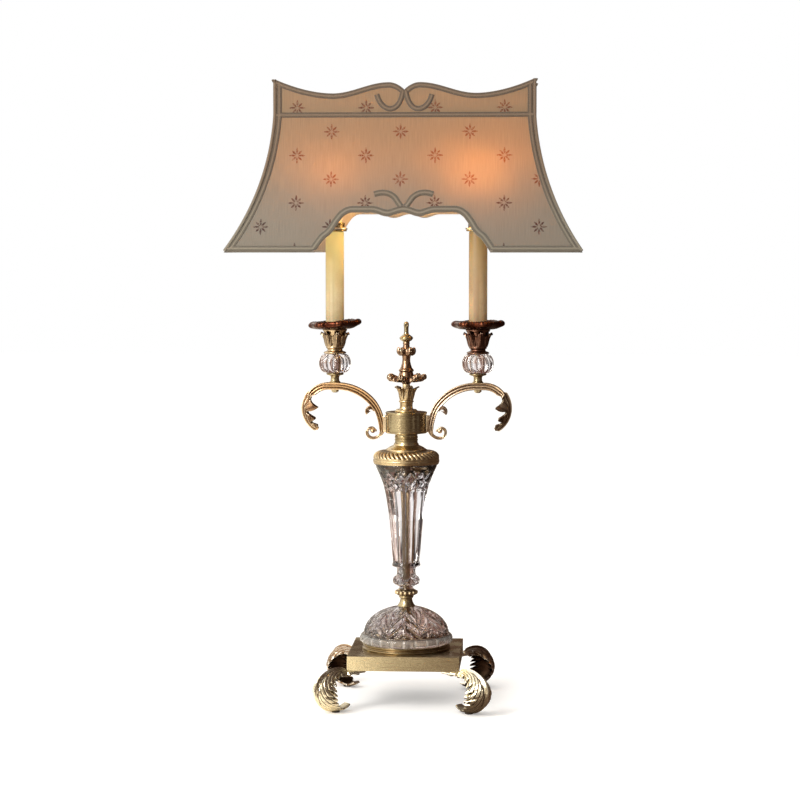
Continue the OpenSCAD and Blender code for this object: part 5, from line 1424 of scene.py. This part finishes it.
@dataclass(frozen=True)
class CandleStation:
    """What stands on the end of one arm: nozzle, glass ball, leaf cup, drip pan, candle and bulb."""

    side: Side
    x: float = 87.3
    droop: float = 0.0

    def nozzle(self) -> list[Grid]:
        """Turned stem with a flange for the ball."""
        return [turned(rounded([
            (3.1, 0), (6.4, 0, 0.3), (6.6, 0.5, 0.3), (6.4, 1.2, 0.4), (5.3, 1.9, 0.5), (5, 6.6, 1), (6, 8.2, 0.6),
            (9.8, 9.2, 0.5), (10.5, 9.8, 0.3), (10.5, 10.9, 0.3), (9.2, 12, 0.3), (3.1, 12),
        ]), 96, loop=True)]

    def ball(self) -> list[Grid]:
        """Melon ball: radius 10.6 + 8.2 sin(v)^0.85 with twelve lobes |sin(6 p)|^0.75 between mitres."""
        v = np.linspace(0, math.pi, 60)
        out = np.stack([10.6 + 8.2 * np.sin(v) ** 0.85, 11.5 - 11.5 * np.cos(v)], -1)
        profile = np.vstack([[[3.3, 0]], out, [[3.3, 23]]])

        def melon(p: Array, r: Array, z: Array) -> tuple[Array, Array]:
            """Raises the lobes."""
            full = np.clip((r - 10.6) / 8.2, 0, 1)
            return r + full * (1.9 * np.abs(np.sin(6 * p)) ** 0.75 - 1.1), z

        return [turned(profile, 12 * 24, melon, loop=True)]

    def cup(self) -> list[Grid]:
        """Bell with a moulded foot and five acanthus leaves standing on it."""
        core = rounded([
            (3.1, 0), (12, 0, 0.3), (13.7, 0.7, 0.5), (13.7, 2, 0.5), (11.8, 2.9, 0.5), (9.4, 3.7, 0.8),
            (9, 5.6, 0.8), (10.8, 7, 0.6), (10.8, 8.4, 0.5), (10, 10, 1), (11, 20, 2), (12.4, 25.4, 1.6),
            (14.6, 28, 1), (15, 29.4, 0.3), (14.6, 30, 0.2), (3.1, 30),
        ])
        leaves = petals([
            (7.2, 8.6, 0, 0), (11.6, 8.8, 0.2, 0), (12.4, 13, 0.9, 0), (13, 18.2, 1.6, 0), (14.4, 21.8, 2.2, 1),
            (15.6, 23.6, 2.6, 2.2), (16.2, 22.6, 2.6, 1.2), (15.2, 24.6, 2.4, 2.4), (13.2, 24, 1.8, 1.4),
            (11.4, 20, 1, 0), (9.6, 14, 0.4, 0),
        ], 6, 36, 0.9, 0.2, gap=1.6)
        return [turned(core, 120, loop=True), leaves]

    def drip_pan(self) -> list[Grid]:
        """Pan of six wavy petals with rolled edges, drooping along X, set on top of the cup."""
        hub = rounded([(3.1, 0), (15, 0, 0.2), (15.2, 0.7, 0.2), (15, 1.4, 0.2), (3.1, 1.4)])
        rows = [
            (12, 0.1, 0, 0), (18, 0.2, 0.3, 0), (22.5, 1, 0.7, 0.2), (26.4, 2.4, 1, 0.3), (29, 3.6, 1.3, 0.2),
            (30.6, 5.2, 1.4, -0.1), (31, 7, 1.4, -0.2), (30.4, 8.8, 1.4, -0.1), (28.4, 10.2, 1.3, 0.3),
            (26, 10.6, 1.1, 0.5), (24, 9.4, 0.9, 0.4), (22.4, 6.4, 0.7, 0.2), (19, 2.8, 0.3, 0), (15, 1.5, 0.1, 0),
            (12, 1.35, 0, 0),
        ]
        pan = petals([(r, z, 1.5 * out, up) for r, z, out, up in rows], 6, 36, 0.5, 0.12)
        tilt = self.droop * np.clip((np.linalg.norm(pan.points[..., :2], axis=2) - 14) / 15, 0, 1)
        bent = pan.points + np.stack([0 * tilt, 0 * tilt, tilt * pan.points[..., 0] / 29], -1)
        rise = high(f"candle_cup_{self.side.word}") - low(f"bobeche_{self.side.word}")
        return [g.moved(shift=(0, 0, rise)) for g in (turned(hub, 96, loop=True), replace(pan, points=bent))]

    def sleeve(self) -> list[Grid]:
        """Candle cover: a plain tube with softened ends."""
        return [turned(even(rounded([
            (10, 0), (11, 0, 0.3), (11.2, 0.4, 0.3), (11.2, 117, 0.3), (10.9, 117.4, 0.3), (10, 117.4), (10, 0),
        ]), 1.5), 72, loop=True)]

    def collar(self) -> list[Grid]:
        """Flanged tube at the top of the cover."""
        return [turned(rounded([
            (9.8, 0), (14.2, 0, 0.3), (14.6, 0.5, 0.3), (14.6, 1.5, 0.3), (14.2, 2, 0.3), (12.2, 2, 0.2),
            (12.1, 8.6, 0.3), (12.4, 9.2, 0.3), (11.6, 10.9, 0.4), (10.4, 11, 0.2), (10, 9, 0.2), (10, 2, 0.2),
            (9.8, 2),
        ]), 96, loop=True)]

    def bulb(self) -> list[Grid]:
        """Flame-shaped bulb: a cosine swell to its belly, then 12 (1 - u^1.7)^0.95 to its tip."""
        u = np.linspace(0, 1, 22)
        swell = np.stack([6 + 6 * ease(u), 22.2 * u], -1)
        w = np.linspace(0.02, 0.995, 46)
        taper = np.stack([12 * (1 - w**1.7) ** 0.95 + 0.5 * w, 22.2 + 51.0 * w], -1)
        return [turned(np.vstack([[[0, 0]], swell, taper, [[0, 74]]]), 64)]

    def build(self) -> None:
        """Makes the station from the arm up."""
        end, left = f"_{self.side.word}", self.side is Side.LEFT
        standing((
            ("turned_nozzle", self.nozzle(), TURNED_BRASS, "nozzle", 35),
            ("melon_ball", self.ball(), CRYSTAL, "glass_ball", 30),
            # Painted shade: the right cup and cover take dark copies, and both pans the near-black bronze.
            ("acanthus_cup", self.cup(), CUP_BRONZE_LIT if left else CUP_BRONZE_SHADED, "candle_cup", 45),
            ("petal_pan", self.drip_pan(), PAN_BRONZE_SHADED, "bobeche", 45),
            ("candle_tube", self.sleeve(), IVORY if left else IVORY_SHADED, "candle_sleeve", 35),
            ("flanged_collar", self.collar(), TURNED_BRASS, "candle_collar", 35),
            ("flame_bulb", self.bulb(), BULB, "bulb_glass", 35),
        ), self.side.value * self.x, end)
        dressed(("socket" + end, PHENOLIC, 0), ("bulb_base" + end, BULB_BASE, 0))


# ------------------------------------------------------------------ shade


@dataclass(frozen=True)
class Shade:
    """Pagoda shade: four fabric panels on a wire frame, edged with braid."""

    z: float = 550.0
    band_z: float = 714.0
    crown_z: float = 756.0
    top_w: float = 155.0
    top_d: float = 40.0
    flare_w: float = 57.0
    flare_d: float = 40.0
    cloth: float = 1.4
    cut_height: float = 0.232
    hump_x: float = 18.5
    dip_x: float = 86.0
    foot_x: float = 104.0
    arch_rise: float = 47.0
    sprig_x: float = 45.6
    sprig_z: float = 721.8

    def flare(self, z: Array) -> Array:
        """Share of the flare at a height: an arc that leaves the band 3.5 degrees off the upright."""
        chord = math.hypot(self.flare_w, self.band_z - self.z)
        start = math.radians(3.5)
        radius = chord / 2 / math.sin(math.atan2(self.flare_w, self.band_z - self.z) - start)
        a = np.arcsin(math.sin(start) + np.clip(self.band_z - z, 0, None) / radius)
        return radius * (math.cos(start) - np.cos(a)) / self.flare_w

    def half_w(self, z: Array) -> Array:
        """Half width at a height."""
        return self.top_w + self.flare_w * self.flare(z)

    def half_d(self, z: Array) -> Array:
        """Half depth at a height."""
        return self.top_d + self.flare_d * self.flare(z)

    def crest(self, x: Array) -> Array:
        """Upper edge of the front: notch, hump, dip, and a rise to the tips."""
        u = np.abs(x)
        notch, top, dip = self.crown_z - 13, self.crown_z - 4, self.crown_z - 17
        near = notch + (top - notch) * np.sin(np.pi / 2 * np.clip(u / self.hump_x, 0, 1)) ** 0.8
        middle = top + (dip - top) * ease((u - self.hump_x) / (self.dip_x - self.hump_x))
        tips = dip + 17 * np.clip((u - self.dip_x) / (self.top_w - self.dip_x), 0, 1.02) ** 1.8
        return np.where(u < self.hump_x, near, np.where(u < self.dip_x, middle, tips))

    def arch(self, x: Array) -> Array:
        """Lower edge of the front: level, then an S-shaped shoulder up to the arch and two small humps."""
        u = np.abs(x)
        knots = [0, 0.12, 0.26, 0.38, 0.5, 0.64, 0.78, 0.9, 1.0]
        rise = [0, 0.16, 0.34, 0.42, 0.53, 0.74, 0.90, 0.975, 1.0]
        shoulder = np.interp(np.clip((self.foot_x - u) / 42, 0, 1), knots, rise)
        return self.z + self.arch_rise * shoulder - np.where(u < 38, 4.5 * np.sin(np.pi / 2 * u / 19) ** 2, 0)

    def side_crest(self, y: Array) -> Array:
        """Upper edge of the ends, hollow between the tips."""
        return self.crown_z - 17 * (1 - (np.abs(y) / self.top_d) ** 2)

    def edge(self, share: Array, across: Callable, line: Callable) -> Array:
        """Height at which a line of the panel crosses an edge: z = line(share x across(z)), repeated."""
        z = np.full_like(share, self.z + 20)
        for _ in range(60):
            z = 0.5 * z + 0.5 * line(share * across(z))
        return z

    def panel(self, front: bool) -> Grid:
        """Front or right-hand panel as a grid between its lower and its upper edge, UV in metres."""
        across, out = (self.half_w, self.half_d) if front else (self.half_d, self.half_w)
        lower = self.arch if front else (lambda y: np.full_like(y, self.z))
        upper = self.crest if front else self.side_crest
        share = np.linspace(-1, 1, 241 if front else 61)
        if front:
            key = np.array([38, 62, self.foot_x]) / self.half_w(np.array([592.5, 597.0, self.z]))
            share = np.unique(np.round(np.concatenate([share, key, -key, [0.0]]), 6))
        bottom, top = self.edge(share, across, lower), self.edge(share, across, upper)
        v = np.linspace(0, 1, 64)[:, None]
        z = bottom + (top - bottom) * v
        a, b = share[None] * across(z), out(z)
        points = np.stack([a, -b, z] if front else [b, a, z], -1)
        uv = np.stack([(a + (self.sprig_x if front else 0)) * MM, (z - self.sprig_z) * MM], -1)
        return Grid(points, loop_cols=False, uv=uv)

    def cloths(self) -> None:
        rows = (("front", True, 0), ("back", True, 180), ("side_right", False, 0), ("side_left", False, 180))
        for name, front, turn in rows:
            grid = self.panel(front)
            made = piece(f"silk_{name}", [grid.moved(turn)], SILK, [f"shade_{name}"], shut=False, crease=60)
            made.data.materials.append(LINING.material())
            wall = made.modifiers.new("lining", "SOLIDIFY")
            wall.thickness, wall.offset = self.cloth * MM, -1.0
            wall.material_offset = 1
            wall.use_rim = True

    def ribbon(self, path: Array, front: bool, width: float, rise: float, ribs: int = 2) -> Grid:
        """Braid laid on a panel along a path.

        The path is carried onto the panel, and a rounded section with ribs is set across it: height
        h sqrt(1 - |v|^3.5) (0.72 + 0.28 |cos(pi n v / 2)|) above the cloth and a flat back in it.

        Args:
            path: rows of (across, z) in the plane of the panel, in millimetres.
            front: whether the panel is the front one.
            width: width of the braid.
            rise: its thickness.
            ribs: number of cords in it.

        Returns:
            The grid, UV running along the braid in metres and across it from 0 to 1.
        """
        out = self.half_d if front else self.half_w
        a, z = even(path, 1.7).T
        slope = out(z + 0.5) - out(z - 0.5)
        one, none = np.ones_like(z), np.zeros_like(z)
        spot = np.stack([a, -out(z), z] if front else [out(z), a, z], -1)
        normal = unit(np.stack([none, -one, -slope] if front else [one, none, -slope], -1))
        across = np.cross(unit(np.gradient(spot, axis=0)), normal)
        face, back = np.linspace(-1, 1, 15), np.linspace(0.9, -0.9, 5)
        ribbed = 0.72 + 0.28 * np.abs(np.cos(np.pi * ribs * face / 2))
        ridge = rise * np.clip(1 - np.abs(face) ** 3.5, 0, 1) ** 0.5 * ribbed
        v = np.concatenate([face, back])[None, :, None]
        up = np.concatenate([ridge, np.full_like(back, -0.2)])[None, :, None]
        points = spot[:, None] + v * width / 2 * across[:, None] + up * normal[:, None]
        uv = np.stack(np.broadcast_arrays(running(spot)[:, None] * MM, (v[..., 0] + 1) / 2), -1)
        return Grid(capped(points, spot), uv=np.concatenate([uv[:1], uv, uv[-1:]]))

    def front_paths(self) -> list[tuple[Array, float]]:
        """Paths of the braid on the front panel, each with its width."""
        x = np.linspace(-self.top_w + 1, self.top_w - 1, 260)
        crest = np.stack([x, self.crest(x) - 3.3 * np.sqrt(1 + np.gradient(self.crest(x), x) ** 2)], -1)
        share = np.linspace(-0.985, 0.985, 500)
        z = self.edge(share, self.half_w, self.arch)
        lower = np.stack([share * self.half_w(z), z], -1)
        step = unit(np.gradient(lower, axis=0))
        lower = lower + 3.9 * np.stack([-step[:, 1], step[:, 0]], -1)
        band = np.array([[-self.top_w - 1.5, self.band_z - 0.6], [self.top_w + 1.5, self.band_z - 0.6]])
        return [(crest, 6.4), (lower, 7.8), (band, 6.2)]

    def scrolls(self) -> list[tuple[Array, float]]:
        """Hooks of braid under the notch and over the arch: smoothed chains of points, and mirrored."""
        notch_hook = [
            (1.5, 742), (3.4, 733), (7.5, 724.5), (14, 720.2), (21, 720.6), (27.5, 725.5), (31.5, 732.5), (33, 737.5)]
        arch_hook = [(3, 604), (7, 609.5), (11, 615.5), (16.5, 619), (22.5, 620.6), (29, 620.4), (35, 618.6)]
        paths, fine = [], np.linspace(0, 1, 60)
        for sign in (-1, 1):
            for hook, width in ((notch_hook, 6.4), (arch_hook, 7.2)):
                t = np.linspace(0, 1, len(hook))
                x, z = (smoothed(np.interp(fine, t, part), 4) for part in np.array(hook, float).T)
                paths.append((np.stack([sign * x, z], -1), width))
        return paths

    def corner(self, sx: int, sy: int) -> Grid:
        """Round piping up a corner of the shade, rolled outwards at its tip."""
        z = np.linspace(self.z + 1.5, self.crown_z - 4, 200)
        path = np.stack([sx * (self.half_w(z) + 0.3), sy * (self.half_d(z) + 0.3), z], -1)
        a = np.linspace(0, 1, 14)[1:, None]
        roll = path[-1] + np.concatenate([sx * 3.0 * a**2, 0 * a, 2.2 * np.sin(np.pi * a / 1.4)], 1)
        grid = tube(np.vstack([path, roll]), 1.9)
        rows, cols = grid.points.shape[:2]
        uv = np.broadcast_arrays(np.linspace(0, 0.24, rows)[:, None], (np.arange(cols) / cols)[None])
        return replace(grid, uv=np.stack(uv, -1))

    def trim(self) -> None:
        """Makes all the braid as one piece."""
        ribbons = [self.ribbon(path, True, width, 1.15) for path, width in self.front_paths()]
        ribbons += [self.ribbon(path, True, width, 1.5, 1) for path, width in self.scrolls()]
        z = np.linspace(self.z + 3, self.crown_z - 4, 150)
        for sign in (-1, 1):
            ribbons.append(self.ribbon(np.stack([sign * (self.half_w(z) - 5.2), z], -1), True, 6.0, 1.1))
            ribbons.append(self.ribbon(np.stack([sign * (self.half_d(z) - 3.4), z], -1), False, 5.6, 1.1))
        y = np.linspace(-self.top_d + 1, self.top_d - 1, 90)
        ribbons.append(self.ribbon(np.stack([y, self.side_crest(y) - 3.4], -1), False, 6.4, 1.15))
        for height, half in ((self.z + 3.9, self.top_d + self.flare_d - 1), (self.band_z - 0.6, self.top_d)):
            ribbons.append(self.ribbon(np.array([[-half, height], [half, height]]), False, 6.8, 1.15))
        made = [ribbon.moved(turn) for turn in (0, 180) for ribbon in ribbons]
        made += [self.corner(sx, sy) for sx in (-1, 1) for sy in (-1, 1)]
        piece("gimp_braid", made, BRAID, ["shade_trim"], crease=70)

    def build(self) -> None:
        """Makes the cloth, the braid and dresses the wire frame."""
        self.cloths()
        self.trim()
        dressed(("shade_frame", FRAME_WIRE, 0.4))


# ------------------------------------------------------------------ studio


@dataclass(frozen=True)
class Studio:
    """Pale floor, soft light and the camera."""

    distance: float = 2.72
    height: float = 0.553
    azimuth: float = 3.5
    lens: float = 100.5
    aim_z: float = 0.3697
    aim_left: float = 0.0077
    light_aim: tuple[float, float, float] = (0.0, 0.0, 0.35)
    floor_half: float = 9.0

    def floor(self) -> None:
        """Large pale floor. To glossy rays it shows a painted reflection, dark to the right, lighter near the lamp and
        brightest to the left; to transmission rays the crystal's flags.
        """
        mesh = bpy.data.meshes.new("studio_floor")
        h = self.floor_half
        mesh.from_pydata([(-h, -h, 0), (h, -h, 0), (h, h, 0), (-h, h, 0)], [], [(0, 1, 2, 3)])
        made = bpy.data.objects.new("studio_floor", mesh)
        bpy.context.scene.collection.objects.link(made)
        paint = bpy.data.materials.new("studio_floor_paint")
        paint.use_nodes = True
        paint.node_tree.nodes.clear()
        t = Tree(paint.node_tree)
        place, path = t.place(), t.add("LightPath")
        x, y, _ = t.split(place)
        side, left = t.span(x, 0.12, -0.2), t.span(x, -0.02, -0.14)
        near = t.span(t.add("VectorMath", {0: place}, operation="LENGTH")["Value"], 0.5, 0.25)
        tone = t.mix(t.noise(place, 3.0, 2.0), (0.97, 0.97, 0.97), (0.94, 0.94, 0.94))
        # Painted reflection: the floor's colour to glossy rays, dark to the right, lighter near the lamp, bright to the
        # left.
        mirrored = t.mix(side, (0.12, 0.08, 0.06), t.mix(near, (0.42, 0.35, 0.27), (0.7, 0.64, 0.54)))
        mirrored = t.mix(left, mirrored, t.mix(near, (0.95, 0.88, 0.76), (1.7, 1.6, 1.4)))
        tone = t.mix(path["Is Glossy Ray"], tone, mirrored)
        tone = t.mix(path["Is Transmission Ray"], tone, self.flags(t, x, y, 0.0))
        shader = t.principled({
            "Base Color": tone, "Roughness": 0.9, "Specular IOR Level": 0.0, "Emission Color": (1.0, 1.0, 1.0),
            "Emission Strength": t.times(path["Is Camera Ray"], 0.22)})
        t.add("OutputMaterial", {"Surface": shader})
        mesh.materials.append(paint)

    def light(self, name: str, spot: tuple, size: tuple[float, float], power: float, colour: Colour) -> None:
        """Soft box at a place, turned to the middle of the lamp."""
        data = bpy.data.lights.new(name, "AREA")
        data.shape, data.size, data.size_y = "RECTANGLE", size[0], size[1]
        data.energy, data.color = power, colour
        made = bpy.data.objects.new(name, data)
        bpy.context.scene.collection.objects.link(made)
        self.turn_to(made, spot, self.light_aim)

    @staticmethod
    def turn_to(made: bpy.types.Object, spot: Sequence[float], aim: Sequence[float]) -> None:
        """Places an object and turns its -Z axis to a point."""
        made.location = spot
        made.rotation_euler = (Vector(aim) - Vector(spot)).to_track_quat("-Z", "Y").to_euler()

    @staticmethod
    def bearing(t: Tree, x: Socket, y: Socket) -> Socket:
        """Direction round the lamp from -1 to 1: 0 in front, negative to the left."""
        return t.calc("DIVIDE", t.calc("ARCTAN2", x, t.times(y, -1.0)), math.pi)

    def flags(self, t: Tree, x: Socket, y: Socket, z: object) -> Socket:
        """What crystal sees in a direction: white cut up by dark upright flags, grey to the left and
        brown to the right, with more of the white straight behind the lamp."""
        phi = self.bearing(t, x, y)
        stripes = t.calc("PINGPONG", t.plus(t.times(phi, 17.0), t.times(z, 1.6)), 1.0)
        behind = t.times(t.span(t.calc("ABSOLUTE", phi), 0.78, 0.95), t.span(t.calc("ABSOLUTE", z), 0.4, 0.15))
        edge = t.minus(0.76, t.times(behind, 0.44))
        dark = t.mix(t.span(x, -0.4, 0.4), (0.07, 0.065, 0.065), (0.15, 0.06, 0.035))
        dark = t.mix(t.span(z, 0.0, 0.6), dark, (0.14, 0.05, 0.042))
        bright = t.mix(t.span(x, -0.1, 0.3), (0.98, 0.98, 1.0), (0.80, 0.63, 0.56))
        return t.mix(t.span(t.minus(stripes, edge), -0.1, 0.12), dark, bright)

    def sky(self) -> None:
        """White to the camera and to matt surfaces.

        Metal sees a dark warm room with a tall soft box at the front left, a thin one at the right and
        one at the back left. Crystal sees white cut up by dark upright flags.
        """
        world = bpy.data.worlds.new("studio_sky")
        bpy.context.scene.world = world
        world.use_nodes = True
        world.node_tree.nodes.clear()
        t = Tree(world.node_tree)
        x, y, z = t.split(t.add("TexCoord")["Generated"])
        phi, path = self.bearing(t, x, y), t.add("LightPath")
        tall = t.window(z, (-0.35, -0.1), (0.9, 0.6))
        edge = t.times(t.window(phi, (-0.98, -0.86), (-0.6, -0.7)), t.window(z, (0.06, 0.2), (0.8, 0.6)))
        room = t.mix(t.span(x, -0.7, 0.35), (0.20, 0.14, 0.10), (0.055, 0.03, 0.022))
        for share, colour in (
            (t.span(y, 0.3, 0.95), (0.09, 0.048, 0.032)),
            (t.window(phi, (-0.5, -0.1), (0.2, 0.04)), (0.50, 0.42, 0.33)),
            (t.span(z, 0.35, 0.95), (0.18, 0.13, 0.11)),
            (t.times(t.span(z, 0.3, 0.55), t.span(x, 0.25, -0.35)), (1.25, 1.2, 1.1)),
            (edge, (1.6, 1.52, 1.36)),
            (t.times(t.window(phi, (0.36, 0.40), (0.47, 0.43)), tall), (0.28, 0.26, 0.25)),
            (t.times(t.window(phi, (-0.74, -0.56), (-0.16, -0.26)), tall), (1.9, 1.82, 1.66)),
            (path["Is Transmission Ray"], self.flags(t, x, y, z)),
            (path["Is Diffuse Ray"], t.mix(t.span(x, 0.9, -0.9), (0.58, 0.54, 0.50), (1.18, 1.16, 1.13))),
            (path["Is Camera Ray"], (1.0, 1.0, 1.0)),
        ):
            room = t.mix(share, room, colour)
        back = t.add("Background", {"Color": room, "Strength": 1.0})[0]
        t.add("OutputWorld", {"Surface": back})

    def camera(self) -> None:
        """Camera in front, a little to the right of the lamp and above its middle."""
        a = math.radians(self.azimuth)
        data = bpy.data.cameras.new("camera")
        data.lens, data.sensor_width = self.lens, 36.0
        made = bpy.data.objects.new("camera", data)
        bpy.context.scene.collection.objects.link(made)
        spot = (self.distance * math.sin(a), -self.distance * math.cos(a), self.height)
        self.turn_to(made, spot, (-math.cos(a) * self.aim_left, -math.sin(a) * self.aim_left, self.aim_z))
        bpy.context.scene.camera = made

    def build(self) -> None:
        """Sets up the studio."""
        self.floor()
        self.sky()
        self.light("key_light", (-0.8, -1.0, 0.95), (0.5, 0.8), 14.0, (1.0, 0.97, 0.92))
        self.light("fill_light", (1.6, -1.6, 0.8), (0.3, 1.0), 0.9, (1.0, 0.93, 0.86))
        self.camera()
        bpy.context.scene.view_settings.view_transform = "Standard"
        log.info("studio: floor, sky, two lights and camera")


def main() -> None:
    """Builds the lamp from the table up, then the studio."""
    logging.basicConfig(level=logging.INFO, format="%(name)s %(message)s")
    left, right = CandleStation(Side.LEFT, droop=2.2), CandleStation(Side.RIGHT, droop=0.6)
    for assembly in (Base(), Stem(), Drum(), Finial(), Arm(), left, right, Shade(), Studio()):
        assembly.build()
    dressed(("candle_nipples", ROD_BRASS, 0), ("nozzle_nuts", TURNED_BRASS, 0.3))


if __name__ == "__main__":
    main()
